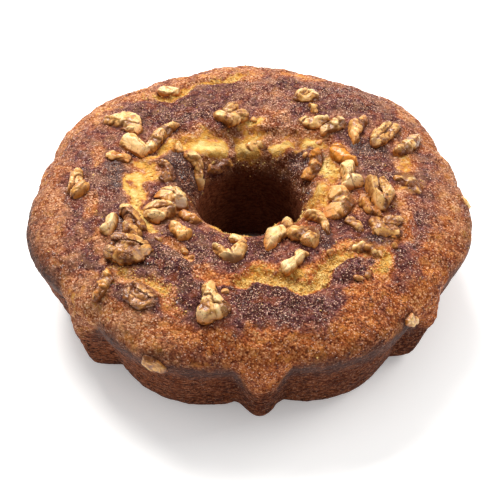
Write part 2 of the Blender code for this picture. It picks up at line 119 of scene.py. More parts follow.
# Brush strokes over the crust in the order they are laid: bake (0 pale crumb, 1 nearly black), torn
# (0 smooth dough, 1 torn crumb), width, softness of the edge, middle line in plan
STROKES = [
    # Broad browning
    (0.50, 0.0, 30, 0.8, [(-108, -46), (-112, -10), (-108, 34)]),
    (0.70, 0.0, 36, 0.9, [(-92, -50), (-92, -10), (-88, 36), (-70, 40)]),
    (0.73, 0.0, 30, 0.9, [(4, 92), (2, 72), (14, 62)]),
    (0.63, 0.0, 24, 0.9, [(70, 88), (84, 62), (98, 34), (98, 4)]),
    (0.56, 0.0, 26, 0.9, [(-70, -70), (-40, -104), (0, -106), (40, -98), (70, -84)]),
    # Cinnamon, darkest in the middle of each patch
    (0.90, 0.0, 30, 0.7, [(-62, 60), (-44, 62), (-28, 66)]),
    (0.84, 0.0, 24, 0.7, [(-30, 82), (-20, 76)]),
    (0.80, 0.0, 18, 0.8, [(-66, 72), (-54, 66)]),
    (0.92, 0.0, 9, 0.9, [(-60, 56), (-46, 70)]),
    (0.86, 0.0, 32, 0.8, [(46, 82), (62, 74), (74, 62)]),
    (0.95, 0.0, 12, 0.9, [(52, 76), (66, 67)]),
    (0.78, 0.0, 20, 0.9, [(-94, 34), (-90, 24)]),
    (0.88, 0.0, 20, 0.8, [(-84, 14), (-78, -2), (-80, -22)]),
    (0.82, 0.0, 14, 0.9, [(-92, -20), (-84, -34)]),
    (0.94, 0.0, 30, 0.6, [(-48, -58), (-38, -66), (-30, -56)]),
    (0.86, 0.0, 20, 0.8, [(-46, -44), (-28, -42), (-18, -48)]),
    (0.80, 0.0, 18, 0.8, [(-12, -68), (-2, -62), (12, -58)]),
    (0.84, 0.0, 14, 0.8, [(8, -54), (26, -54), (34, -60)]),
    (0.92, 0.0, 26, 0.6, [(-6, -92), (14, -92), (34, -90)]),
    (0.80, 0.0, 18, 0.9, [(-4, -104), (24, -102)]),
    (0.92, 0.0, 14, 0.7, [(-34, -90), (-28, -84)]),
    (0.84, 0.0, 10, 0.8, [(-46, -98), (-38, -96)]),
    (0.92, 0.0, 16, 0.6, [(47, -70), (58, -64)]),
    (0.90, 0.0, 18, 0.8, [(80, -54), (84, -36), (86, -18)]),
    (0.72, 0.0, 14, 0.9, [(92, -16), (96, -14)]),
    (0.90, 0.0, 22, 0.7, [(66, 24), (72, 14), (76, 6)]),
    (0.97, 0.0, 9, 0.8, [(62, 30), (72, 28)]),
    (0.72, 0.0, 10, 0.8, [(98, 8), (100, 26)]),
    (0.88, 0.0, 16, 0.7, [(42, -30), (50, -44), (46, -50)]),
    (0.85, 0.0, 10, 0.8, [(56, -30), (66, -44), (80, -44)]),
    (0.82, 0.0, 12, 0.8, [(50, 40), (58, 40), (64, 52)]),
    (0.90, 0.0, 12, 0.8, [(26, 60), (34, 66), (42, 66)]),
    (0.90, 0.0, 10, 0.8, [(24, 94), (26, 82)]),
    (0.88, 0.0, 14, 0.6, [(-46, 24), (-38, 20), (-36, 6)]),
    (0.92, 0.0, 10, 0.7, [(-44, 50), (-30, 51), (-14, 51)]),
    (0.78, 0.0, 8, 0.8, [(-52, 2), (-54, -12)]),
    (0.90, 0.0, 7, 0.8, [(-70, -24), (-70, -46)]),
    (0.86, 0.0, 8, 0.8, [(0, -14), (2, -34), (1, -50)]),
    (0.36, 0.0, 10, 0.9, [(-78, -86), (-64, -102), (-46, -112)]),
    (0.84, 0.0, 12, 0.8, [(-66, -82), (-55, -87), (-42, -93)]),
    (0.44, 0.0, 9, 0.9, [(-62, -96), (-50, -103), (-40, -107)]),
    (0.82, 0.0, 14, 0.9, [(-26, -99), (-8, -102)]),
    (1.00, 0.0, 18, 0.8, [(-34, -90), (-6, -88), (22, -88)]),
    (1.00, 0.0, 14, 0.8, [(-52, -60), (-40, -68), (-30, -60)]),
    (0.80, 0.0, 10, 0.9, [(-84, -62), (-74, -68)]),
    (0.72, 0.0, 12, 0.9, [(74, -74), (84, -64)]),
    # Orange where the crust is thin
    (0.42, 0.0, 9, 0.9, [(-112, -2), (-106, -18)]),
    (0.42, 0.0, 10, 0.9, [(-108, -42), (-104, -36)]),
    (0.48, 0.0, 6, 0.9, [(-86, -14), (-85, -28)]),
    (0.52, 0.0, 6, 0.9, [(-86, 28), (-86, 12)]),
    (0.38, 0.0, 7, 0.9, [(-94, -76), (-82, -80)]),
    (0.42, 0.0, 10, 0.9, [(-4, 112), (0, 104), (0, 96)]),
    (0.42, 0.0, 8, 0.9, [(85, 26), (86, 12)]),
    (0.48, 0.0, 9, 0.9, [(92, 66), (94, 84)]),
    (0.50, 0.0, 10, 0.9, [(40, -112), (0, -116), (-30, -112)]),
    (0.44, 0.0, 9, 0.9, [(2, -120), (2, -112)]),
    (0.50, 0.0, 8, 0.9, [(50, -96), (60, -90)]),
    (0.48, 0.0, 9, 0.9, [(100, -46), (108, -30), (110, -6)]),
    (0.48, 0.0, 5, 0.9, [(-30, -62), (-36, -54), (-44, -50)]),
    (0.44, 0.0, 7, 0.9, [(-26, -70), (-20, -78), (-12, -78)]),
    (0.50, 0.0, 6, 0.9, [(78, -46), (84, -44), (82, -8)]),
    (0.42, 0.0, 10, 0.8, [(-28, 0), (-24, -16), (-18, -28)]),
    (0.45, 0.0, 12, 0.8, [(-66, 20), (-56, 22)]),
    # Left: dough mound and folds
    (0.24, 0.3, 9, 0.6, [(-58, 22), (-50, 27), (-41, 37)]),
    (0.26, 0.2, 9, 0.6, [(-62, 15), (-56, 12), (-54, 4)]),
    (0.09, 0.1, 13, 0.45, [(-64, 3), (-65, -4), (-62, -9)]),
    (0.13, 0.4, 6, 0.6, [(-62, -14), (-59, -27), (-53, -40)]),
    (0.34, 0.0, 5, 0.9, [(-66, 0), (-65, -3)]),
    (0.36, 0.0, 4, 0.9, [(-80, -40), (-79, -52), (-75, -62)]),
    (0.96, 0.0, 4, 0.7, [(-72, 20), (-64, 23), (-56, 25)]),
    # Back left: torn arc
    (0.46, 0.3, 9, 0.8, [(-68, 79), (-56, 78), (-48, 76), (-38, 88), (-26, 96), (-8, 100)]),
    (0.20, 0.8, 4, 0.7, [(-57, 78), (-49, 75), (-42, 79), (-37, 88), (-28, 94), (-14, 96)]),
    (0.26, 0.6, 5, 0.7, [(-12, 98), (-5, 103)]),
    # Far rim of the hole: swollen dough under amber edges
    (0.37, 0.0, 9, 0.6, [(-38, 41), (-30, 45), (-20, 45), (-12, 43)]),
    (0.26, 0.25, 17, 0.5, [(-34, 35), (-24, 34), (-13, 37)]),
    (0.02, 0.0, 9, 0.8, [(-29, 34), (-22, 35), (-15, 37)]),
    (0.32, 0.0, 9, 0.6, [(-4, 50), (6, 53), (8, 46)]),
    (0.26, 0.25, 17, 0.5, [(-6, 36), (0, 40), (6, 36)]),
    (0.03, 0.0, 9, 0.8, [(-6, 36), (2, 38)]),
    (0.12, 0.5, 5, 0.7, [(0, 54), (5, 57)]),
    (0.34, 0.0, 6, 0.8, [(9, 50), (10, 42), (9, 36)]),
    (0.26, 0.25, 16, 0.5, [(14, 35), (25, 37)]),
    (0.03, 0.0, 9, 0.8, [(13, 37), (20, 39)]),
    (0.60, 0.0, 12, 0.6, [(17, 58), (17, 48)]),
    (0.38, 0.0, 6, 0.8, [(12, 45), (20, 44), (26, 44)]),
    (0.30, 0.0, 13, 0.5, [(33, 38), (40, 37)]),
    (0.08, 0.0, 6, 0.8, [(33, 38), (38, 39)]),
    (0.36, 0.0, 9, 0.7, [(30, 47), (40, 45)]),
    (0.78, 0.0, 7, 0.7, [(25, 30), (30, 26), (35, 20)]),
    (0.42, 0.0, 4, 0.9, [(-14, 47), (-12, 38), (-11, 31)]),
    (0.38, 0.0, 3.5, 0.9, [(8, 46), (10, 38), (9, 32)]),
    (0.38, 0.0, 3.5, 0.9, [(27, 47), (27, 39), (25, 33)]),
    # Right: crumb between the walnuts
    (0.36, 0.3, 15, 0.7, [(46, 24), (43, 6), (37, -12)]),
    (0.07, 0.5, 8, 0.6, [(41, 17), (45, 10)]),
    (0.10, 0.3, 8, 0.6, [(37, 1), (38, -6)]),
    (0.30, 0.3, 8, 0.8, [(46, 4), (40, -10), (36, -20)]),
    (0.34, 0.1, 9, 0.8, [(84, -6), (92, -3)]),
    (0.36, 0.1, 8, 0.8, [(52, 26), (50, 16)]),
    (0.30, 0.2, 7, 0.8, [(86, 20), (85, 14)]),
    # Front: torn zigzag
    (0.38, 0.5, 9, 0.8, [(-3, -76), (4, -70), (20, -73), (34, -72), (42, -58), (60, -53)]),
    (0.12, 1.0, 6, 0.5, [(-3, -78), (2, -75), (10, -77), (20, -78)]),
    (0.15, 1.0, 7, 0.5, [(21, -79), (27, -82), (36, -79), (39, -71), (44, -62), (52, -56)]),
    (0.27, 0.5, 7, 0.7, [(2, -70), (8, -70)]),
    (0.28, 0.5, 6, 0.8, [(21, -71), (27, -74)]),
    (0.36, 0.3, 8, 0.8, [(48, -52), (60, -54), (66, -56)]),
    (0.44, 0.2, 8, 0.9, [(75, -46), (70, -56), (69, -70)]),
    (0.22, 0.7, 8, 0.7, [(70, -59), (69, -67)]),
    # Front left: orange crumb
    (0.42, 0.4, 9, 0.8, [(-68, -70), (-60, -76), (-48, -80), (-40, -90), (-37, -98)]),
    (0.28, 0.8, 5, 0.7, [(-56, -76), (-48, -79), (-42, -84)]),
    (0.30, 0.4, 5, 0.8, [(-67, -70), (-62, -74)]),
    (0.38, 0.2, 4, 0.8, [(-44, -50), (-36, -55), (-30, -62)]),
    # Near rim of the hole
    (0.16, 0.4, 7, 0.6, [(-19, -30), (-11, -35), (-3, -34), (6, -30), (13, -27), (22, -22),
                         (30, -14), (33, -5)]),
]
# Wet, dark spots, and where sugar lies thickest
WET = [
    (12, [(-40, 22), (-36, 8), (-36, -6)]), (8, [(37, -38), (40, -50)]),
    (8, [(-76, 12), (-74, -2)]), (10, [(62, 30), (72, 28)]), (12, [(30, 30), (38, 20)]),
    (8, [(64, -47), (72, -48)]), (7, [(-68, -28), (-69, -46)]),
]
SUGAR = [
    (26, [(4, 84), (14, 72)]), (20, [(14, 58), (18, 50)]), (24, [(-44, 56), (-24, 56)]),
    (22, [(44, 84), (66, 76)]), (20, [(4, -94), (30, -92)]), (20, [(-84, 8), (-80, -12)]),
    (18, [(-44, -64), (-26, -62)]), (14, [(66, 20), (72, 8)]), (16, [(86, -40), (90, -22)]),
    (12, [(38, 24), (30, 24)]), (14, [(56, -68), (64, -66)]), (12, [(6, -58), (12, -52)]),
]
# Painted shade: where the dough lies in shade
DIM = [
    (8, [(-32, 26), (-22, 27), (-14, 29)]), (7, [(-10, 48), (-9, 38), (-8, 30)]),
    (7, [(-4, 30), (6, 29)]), (7, [(10, 36), (10, 30)]), (8, [(24, 38), (28, 40), (27, 32)]),
    (7, [(34, 34), (42, 33)]),
]
# Creases (width, depth, line) and swellings (x, y, size, height) of the dough
CREASES = [
    (5, 1.6, [(-72, 19), (-64, 22), (-54, 25)]), (5, 1.5, [(-13, 50), (-11, 40), (-8, 28)]),
    (5, 1.3, [(6, 46), (9, 40), (11, 29)]), (4, 1.0, [(-54, 6), (-56, -12)]),
    (5, 1.2, [(-44, 42), (-30, 45), (-16, 45)]), (5, 1.5, [(25, 46), (27, 38), (26, 28)]),
    (4, 0.9, [(-57, -66), (-50, -70), (-36, -76)]), (4, 0.9, [(40, -80), (48, -78), (56, -76)]),
    (5, 0.9, [(62, -60), (64, -70), (60, -76)]), (4, 0.8, [(-88, -26), (-74, -30)]),
    (4, 0.9, [(-88, 44), (-78, 32), (-60, 28)]),
]
SWELLINGS = [
    (-64, -2, 13, 1.5), (-23, 34, 15, 2.2), (0, 37, 15, 1.9), (19, 36, 13, 1.9), (34, 36, 9, 2.2),
    (-28, 48, 12, 1.0), (4, 50, 9, 1.0),
    (52, -68, 13, 1.3), (-42, 20, 10, 1.4), (-56, -74, 9, 0.8), (-44, -62, 16, 0.9),
    (12, -92, 18, 0.9), (-24, 80, 15, 1.0), (-62, 68, 12, 0.8), (40, -2, 10, 1.0),
    (14, 56, 10, 1.0), (70, 16, 10, 0.8), (86, -30, 12, 0.7), (56, 78, 14, 0.8),
]

# Walnut shapes: chains of knobs as (along, across, radius, top)
SHAPES = {
    "wedge": [[(-0.42, -0.05, 0.16, 0.7), (0.0, 0.08, 0.40, 0.9), (0.18, 0.0, 0.40, 0.9)],
              [(0.15, -0.10, 0.30, 0.8), (0.40, -0.22, 0.24, 0.8)]],
    "chip": [[(-0.28, 0.06, 0.44, 1.0), (0.26, -0.12, 0.38, 0.9)]],
    "leaf": [[(-0.40, 0.10, 0.26, 0.7), (-0.12, 0.16, 0.42, 1.0), (0.22, -0.08, 0.38, 0.9),
              (0.42, -0.28, 0.24, 0.8)]],
    "trefoil": [[(-0.38, 0.0, 0.26, 0.8), (-0.08, -0.28, 0.26, 0.9), (0.36, -0.12, 0.26, 0.9)],
                [(-0.08, 0.06, 0.26, 0.9), (0.16, 0.34, 0.20, 1.0)]],
    "arc": [[(-0.42, -0.10, 0.42, 0.9), (-0.24, 0.30, 0.38, 1.0), (0.10, 0.20, 0.34, 0.9),
             (0.44, -0.20, 0.28, 0.8)]],
    "stick": [[(-0.36, 0.02, 0.44, 0.9), (0.0, 0.10, 0.36, 0.9), (0.36, -0.04, 0.46, 1.0)]],
    "claw": [[(0.24, 0.0, 0.36, 0.9), (-0.40, -0.26, 0.14, 0.8)],
             [(0.24, 0.0, 0.36, 1.0), (-0.38, 0.04, 0.15, 0.9)],
             [(0.26, 0.05, 0.34, 0.9), (-0.22, 0.34, 0.17, 1.0)]],
    "clump": [[(-0.30, 0.12, 0.28, 0.9), (0.0, 0.22, 0.22, 0.8), (0.30, 0.06, 0.26, 1.0)],
              [(-0.26, -0.20, 0.24, 0.8), (0.08, -0.22, 0.26, 0.9), (0.30, 0.0, 0.24, 0.8)]],
    "quarter": [[(-0.36, 0.0, 0.20, 0.6), (-0.26, -0.22, 0.22, 0.85), (0.0, -0.33, 0.22, 0.9),
                 (0.30, -0.20, 0.22, 0.9), (0.40, 0.06, 0.18, 0.8)],
                [(0.30, 0.20, 0.17, 0.8), (0.0, 0.20, 0.26, 1.0), (-0.28, 0.26, 0.20, 0.8)],
                [(-0.14, 0.0, 0.22, 0.62), (0.16, 0.0, 0.22, 0.58)]],
    "drop": [[(-0.40, 0.0, 0.22, 0.7), (-0.05, 0.0, 0.36, 0.9), (0.22, 0.0, 0.48, 1.0)]],
    "club": [[(-0.42, 0.14, 0.20, 0.9), (-0.10, 0.06, 0.22, 1.0), (0.20, 0.22, 0.26, 0.9)],
             [(0.0, 0.0, 0.26, 0.9), (0.26, -0.20, 0.28, 0.8), (0.22, 0.22, 0.26, 0.8)]],
    "vee": [[(-0.40, 0.36, 0.15, 0.8), (0.0, 0.16, 0.24, 1.0), (0.32, 0.0, 0.24, 0.9)],
            [(-0.32, -0.36, 0.13, 0.8), (0.05, -0.18, 0.20, 0.8), (0.32, 0.0, 0.24, 0.9)]],
    "fork": [[(-0.40, 0.0, 0.40, 1.0), (0.0, 0.0, 0.34, 0.9), (0.36, -0.20, 0.32, 0.8)],
             [(0.02, 0.05, 0.30, 0.9), (0.22, 0.36, 0.32, 0.8)]],
    "twin": [[(-0.42, 0.10, 0.34, 1.0), (-0.10, -0.20, 0.28, 0.9), (0.12, -0.34, 0.26, 0.8)],
             [(-0.10, 0.16, 0.26, 0.8), (0.22, 0.24, 0.32, 1.0), (0.40, -0.06, 0.30, 0.9)]],
    "mass": [[(-0.28, -0.10, 0.34, 1.0), (-0.10, 0.10, 0.34, 0.9), (0.12, 0.14, 0.36, 0.9),
              (0.28, -0.12, 0.36, 0.9)]],
}

# Walnuts on the dome: shape, x, y, heading, length, width, height, tone (0 pale, 1 brown) and
# how much of their skin is left on
DOME_NUTS = [
    ("wedge", -74, 51, -20, 27, 20, 4.5, 0.22, 0.15),
    ("chip", -66, 29, -32, 20, 14, 5.0, 0.22, 0.15),
    ("leaf", -52, 38, -128, 32, -11, 5.5, 0.32, 0.40),
    ("chip", -75, 19, 0, 15, 10, 3.0, 0.52, 0.45),
    ("twin", -97, -4, -78, 23, 14, 5.5, 0.42, 0.50),
    ("trefoil", -12, 58, 13, 21, 19, 6.5, 0.45, 0.35),
    ("chip", -49, 82, 8, 15, 9, 2.5, 0.08, 0.20),
    ("arc", -31, 19, -56, 25, 9, 5.0, 0.25, 0.15),
    ("stick", -18, 27, -140, 18, 8, 4.0, 0.78, 0.30),
    ("chip", -42, 30, -88, 12, 7, 4.5, 0.20, 0.10),
    ("mass", -47, 10, -84, 21, 11, 3.0, 0.72, 0.35),
    ("claw", -42, -13, -42, 19, 17, 6.5, 0.28, 0.10),
    ("clump", -49, -26, -12, 19, 18, 6.0, 0.28, 0.25),
    ("chip", -33, -28, -26, 14, 9, 3.5, 0.72, 0.35),
    ("drop", -38, -43, -47, 16, 10, 5.5, 0.30, 0.10),
    ("twin", -63, -37, -72, 29, -13, 6.5, 0.55, 0.60),
    ("stick", -75, -37, -104, 16, 8, 5.0, 0.12, 0.05),
    ("quarter", -64, -58, -12, 27, 20, 7.5, 0.62, 0.80),
    ("leaf", -75, -78, -100, 21, 11, 4.0, 0.46, 0.50),
    ("quarter", -56, -88, -38, 21, 15, 3.0, 0.85, 0.85),
    ("club", -20, -93, -72, 27, 19, 7.5, 0.24, 0.25),
    ("vee", -9, -59, -80, 18, 20, 6.0, 0.15, 0.10),
    ("drop", 13, -46, 70, 23, 12, 6.0, 0.05, 0.05),
    ("mass", 30, -45, -38, 19, 15, 7.0, 0.34, 0.25),
    ("stick", 24, -64, -124, 22, 8, 5.5, 0.12, 0.10),
    ("arc", 39, -32, -58, 24, 8, 5.0, 0.28, 0.15),
    ("mass", 50, -19, -100, 26, 17, 7.0, 0.30, 0.25),
    ("fork", 57, 3, -84, 24, 13, 7.5, 0.15, 0.10),
    ("wedge", 53, 21, 132, 23, 14, 6.0, 0.48, 0.10),
    ("mass", 37, 19, -114, 24, 11, 5.0, 0.55, 0.40),
    ("wedge", 38, 52, -165, 20, 13, 5.5, 0.15, 0.10),
    ("leaf", 50, 48, -120, 20, 12, 6.5, 0.15, 0.10),
    ("wedge", 62, 44, 82, 27, 13, 5.0, 0.52, 0.45),
    ("clump", 78, 41, -124, 29, 13, 5.5, 0.22, 0.35),
    ("leaf", 92, 34, -112, 28, 12, 5.5, 0.38, 0.35),
    ("clump", 33, 75, -160, 16, 14, 5.0, 0.28, 0.35),
    ("chip", 38, 64, -67, 10, 6, 3.5, 0.42, 0.30),
    ("clump", 73, -12, -78, 27, -17, 8.5, 0.40, 0.45),
    ("arc", 66, -22, -66, 22, -9, 4.5, 0.68, 0.40),
    ("leaf", 89, 0, -10, 17, 16, 3.0, 0.45, 0.30),
    ("chip", 57, -35, -41, 13, 9, 3.0, 0.60, 0.50),
    ("trefoil", 74, -36, -38, 20, 21, 3.5, 0.58, 0.70),
    ("arc", 62, -53, -8, 21, 11, 3.0, 0.42, 0.30),
    ("stick", 3, 38, 20, 13, 9, 3.0, 0.68, 0.15),
]
# Walnuts in the side and on the lip of the hole: shape, azimuth, height, turn, length, width,
# how far they stand out, tone, skin
SIDE_NUTS = [
    ("chip", -22, 49, 10, 14, 14, 2.5, 0.56, 0.30),
    ("chip", 44, 53, -25, 13, 9, 2.5, 0.25, 0.20),
    ("chip", 89, 58, 60, 10, 9, 1.8, 0.15, 0.10),
]
LIP_NUTS = [
    ("stick", 33, 65.5, 60, 12, 7, 2.5, 0.20, 0.10),
    ("chip", -7.5, 67.8, 5, 11, 7, 3.0, 0.28, 0.20),
]
# Walnuts soaked with syrup, and how much
AMBER_NUTS = {
    "walnut_29": 0.95, "walnut_30": 0.65, "walnut_27": 0.45, "walnut_19": 0.6, "walnut_39": 0.4,
    "walnut_05": 0.3, "walnut_14": 0.5, "walnut_04": 0.3, "walnut_15": 0.4, "walnut_33": 0.2,
}
NUT_SINK = 3.0
NUT_VOXEL = 0.5
NUT_LEAN = 0.88

# Small walnut bits: x, y, heading, length
BITS = [
    (-12, -86, 20, 5), (32, 28, 80, 5), (-34, -56, 130, 5), (-30, -61, 20, 4), (43, -57, 40, 5),
    (57, -75, 0, 5), (62, -72, 70, 6), (78, -51, 120, 5), (-48, -49, 150, 5), (40, 38, 30, 6),
    (2, 55, 10, 6),
]


def smooth_step(low, high, value):
    """0 on low's side, 1 on high's side, an even S between them."""
    share = np.clip((value - low) / (high - low), 0.0, 1.0)
    return share * share * (3.0 - 2.0 * share)


def noise_field(points, size, seed=0.0, octaves=1):
    """Noise from -1 to 1 at points whose bumps are about size wide."""
    shifted = (points / size + np.array([seed, 2.3 * seed, -1.7 * seed])).reshape(-1, 3).tolist()
    if octaves == 1:
        values = [noise.noise(point) for point in shifted]
    else:
        values = [noise.fractal(point, 0.7, 2.0, octaves) for point in shifted]
    return np.array(values).reshape(points.shape[:-1])


def profile_points(places):
    """Points (radius, height) of the closed section at places counted in PROFILE points."""
    profile = np.array(PROFILE)
    places = np.asarray(places, float)
    index = np.floor(places).astype(int)
    share = (places - index)[..., None]
    p0, p1, p2, p3 = (profile[(index + step) % len(profile)] for step in (-1, 0, 1, 2))
    curve = 0.5 * (2 * p1 + (p2 - p0) * share + (2 * p0 - 5 * p1 + 4 * p2 - p3) * share ** 2
                   + (3 * p1 - p0 - 3 * p2 + p3) * share ** 3)
    on_flat = np.isin(index % len(profile), (FLAT_START, FLAT_END))[..., None]
    return np.where(on_flat, p1 + (p2 - p1) * share, curve)


def ring_places():
    """Place on the section of each ring of vertices, at even distances along each stretch."""
    fine = 60
    places = []
    for start, end, rings in STRETCHES:
        steps = np.linspace(start, end, (end - start) * fine + 1)
        points = profile_points(steps)
        lengths = np.concatenate([[0], np.cumsum(np.linalg.norm(np.diff(points, axis=0), axis=1))])
        places.extend(np.interp(lengths[-1] * np.arange(rings) / rings, lengths, steps))
    return np.array(places)


def ridge_distance(azimuth):
    """Degrees from the nearest ridge of the side."""
    numbers = np.arange(FLUTES)
    ridges = RIDGE_START + 360.0 / FLUTES * numbers + RIDGE_JITTER * np.sin(2.4 * numbers + 0.8)
    away = (np.asarray(azimuth)[..., None] - ridges + 180.0) % 360.0 - 180.0
    return np.abs(away).min(-1)


def flute(azimuth, height):
    """How far the flutes push the side out: ridges lead low down, lobes lead at the rim."""
    low = smooth_step(FLUTE_RIM_Z, FLUTE_FULL_Z, height)
    ridge_crest, lobe_crest = (rim + (side - rim) * low for rim, side in (RIDGE_SHARE, LOBE_SHARE))
    away = ridge_distance(azimuth)
    on_ridge = (1.0 + ridge_crest) * (0.5 + 0.5 * np.cos(np.pi * away / RIDGE_HALF))
    share = np.clip((away - RIDGE_HALF) / (180.0 / FLUTES - RIDGE_HALF), 0.0, 1.0)
    on_lobe = (1.0 + lobe_crest) * np.sin(np.pi / 2 * share) ** LOBE_ROUND
    rise = np.where(away < RIDGE_HALF, on_ridge, on_lobe)
    depth = FLUTE_RIM + (FLUTE_SIDE - FLUTE_RIM) * low
    return (rise - 1.0) * depth * smooth_step(FLUTE_END_Z, FLUTE_RIM_Z, height)


def distance_to_line(x, y, line):
    """Distance from points to a line of several points."""
    nearest = np.full(np.shape(x), np.inf)
    for (x0, y0), (x1, y1) in zip(line, line[1:]):
        run_x, run_y = x1 - x0, y1 - y0
        share = ((x - x0) * run_x + (y - y0) * run_y) / (run_x ** 2 + run_y ** 2)
        share = np.clip(share, 0.0, 1.0)
        nearest = np.minimum(nearest, np.hypot(x - x0 - run_x * share, y - y0 - run_y * share))
    return nearest


def stroke(x, y, width, soft, line):
    """How much of a stroke each point is in, 0 to 1, with an edge that takes a share of its width."""
    half = width / 2
    return 1.0 - smooth_step(half * (1 - soft), half * (1 + soft), distance_to_line(x, y, line))


def zone(x, y, strokes, soft=0.6):
    """How much of a zone made of several strokes each point is in, 0 to 1."""
    return np.max([stroke(x, y, width, soft, line) for width, line in strokes], axis=0)


def cake_skin(azimuth, place):
    """Points of the cake's skin in millimetres at azimuths and places of one shape."""
    azimuth, place = np.broadcast_arrays(np.asarray(azimuth, float), np.asarray(place, float))
    step = 0.05
    radius, height = np.moveaxis(profile_points(place), -1, 0)
    along = profile_points(place + step) - profile_points(place - step)
    along /= np.linalg.norm(along, axis=-1)[..., None]
    radial, rise = along[..., 1], -along[..., 0]
    outside = (place < DOME_TOP) | (place >= FLAT_END)
    radius = radius + np.where(outside, flute(azimuth, height), 0.0)
    angle = np.radians(azimuth)
    x, y = radius * np.sin(angle), -radius * np.cos(angle)
    spots = np.stack([x, y, height], -1)
    out = CRUST_UNEVEN * noise_field(spots, SWELL_SIZE)
    other = spots / LUMP_SIZE + np.array([5.0, 9.0, 2.0])
    out = out + CRUST_LUMP * noise_field(other, 1.0)
    on_base = (place >= FLAT_START) & (place <= FLAT_END)
    out = np.where(on_base, 0.0, out * smooth_step(0.0, EVEN_BELOW, height))
    on_dome = (place > RIM) & (place < LIP)
    cracks = np.zeros(np.shape(x))
    for width, deep, line in CRACKS.values():
        away = distance_to_line(x, y, line)
        cracks = np.maximum(cracks, deep * (1 - smooth_step(CRACK_FLAT * width, CRACK_EDGE * width,
                                                            away)))
    lumps = sum(high * (1 - smooth_step(0.0, size, np.hypot(x - lump_x, y - lump_y)))
                for lump_x, lump_y, size, high in LUMPS)
    out = out + np.where(on_dome, lumps - cracks, 0.0)
    x = x + out * radial * np.sin(angle)
    height = height + out * rise
    height = height + BACK_RISE * smooth_step(0.0, BACK_Y, y) * smooth_step(*BACK_Z, height)
    y = y - out * radial * np.cos(angle)
    return np.stack([x * OVAL + SIDE_SHIFT, y, np.maximum(0.0, height)], -1)


def cake_frame(azimuth, place, turn):
    """Matrix, in metres, of a spot on the cake: +Z out of its skin, +X turned round that."""
    turn_step, place_step = 1.5, 0.3
    azimuths = np.array([0, turn_step, -turn_step, 0, 0]) + azimuth
    places = np.array([0, 0, 0, place_step, -place_step]) + place
    here, ahead, behind, over, under = map(Vector, cake_skin(azimuths, places))
    out = (ahead - behind).cross(over - under).normalized()
    across = (ahead - behind).normalized()
    along = out.cross(across)
    turn = math.radians(turn)
    heading = across * math.cos(turn) + along * math.sin(turn)
    axes = Matrix((heading, out.cross(heading), out)).transposed()
    return Matrix.Translation(here * MM) @ axes.to_4x4()


def find_place(first, last, value, axis):
    """Place between two others where the section reaches a radius (axis 0) or a height (axis 1)."""
    places = np.linspace(first, last, 800)
    return float(places[np.abs(profile_points(places)[:, axis] - value).argmin()])


def dome_frame(x, y, heading):
    """Matrix of a spot of the dome, from its plan position and a heading seen from above."""
    azimuth = math.degrees(math.atan2(x, -y))
    return cake_frame(azimuth, find_place(RIM, LIP, math.hypot(x, y), 0), heading - azimuth)


def onto_frame(points):
    """Points in millimetres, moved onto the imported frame, in metres."""
    return (points - np.array([*MIDDLE, 0.0])) * MM


def linear(red, green, blue):
    """Linear colour of an sRGB one given in 0 to 255."""
    shares = [value / 255 for value in (red, green, blue)]
    return [s / 12.92 if s <= 0.04045 else ((s + 0.055) / 1.055) ** 2.4 for s in shares] + [1.0]


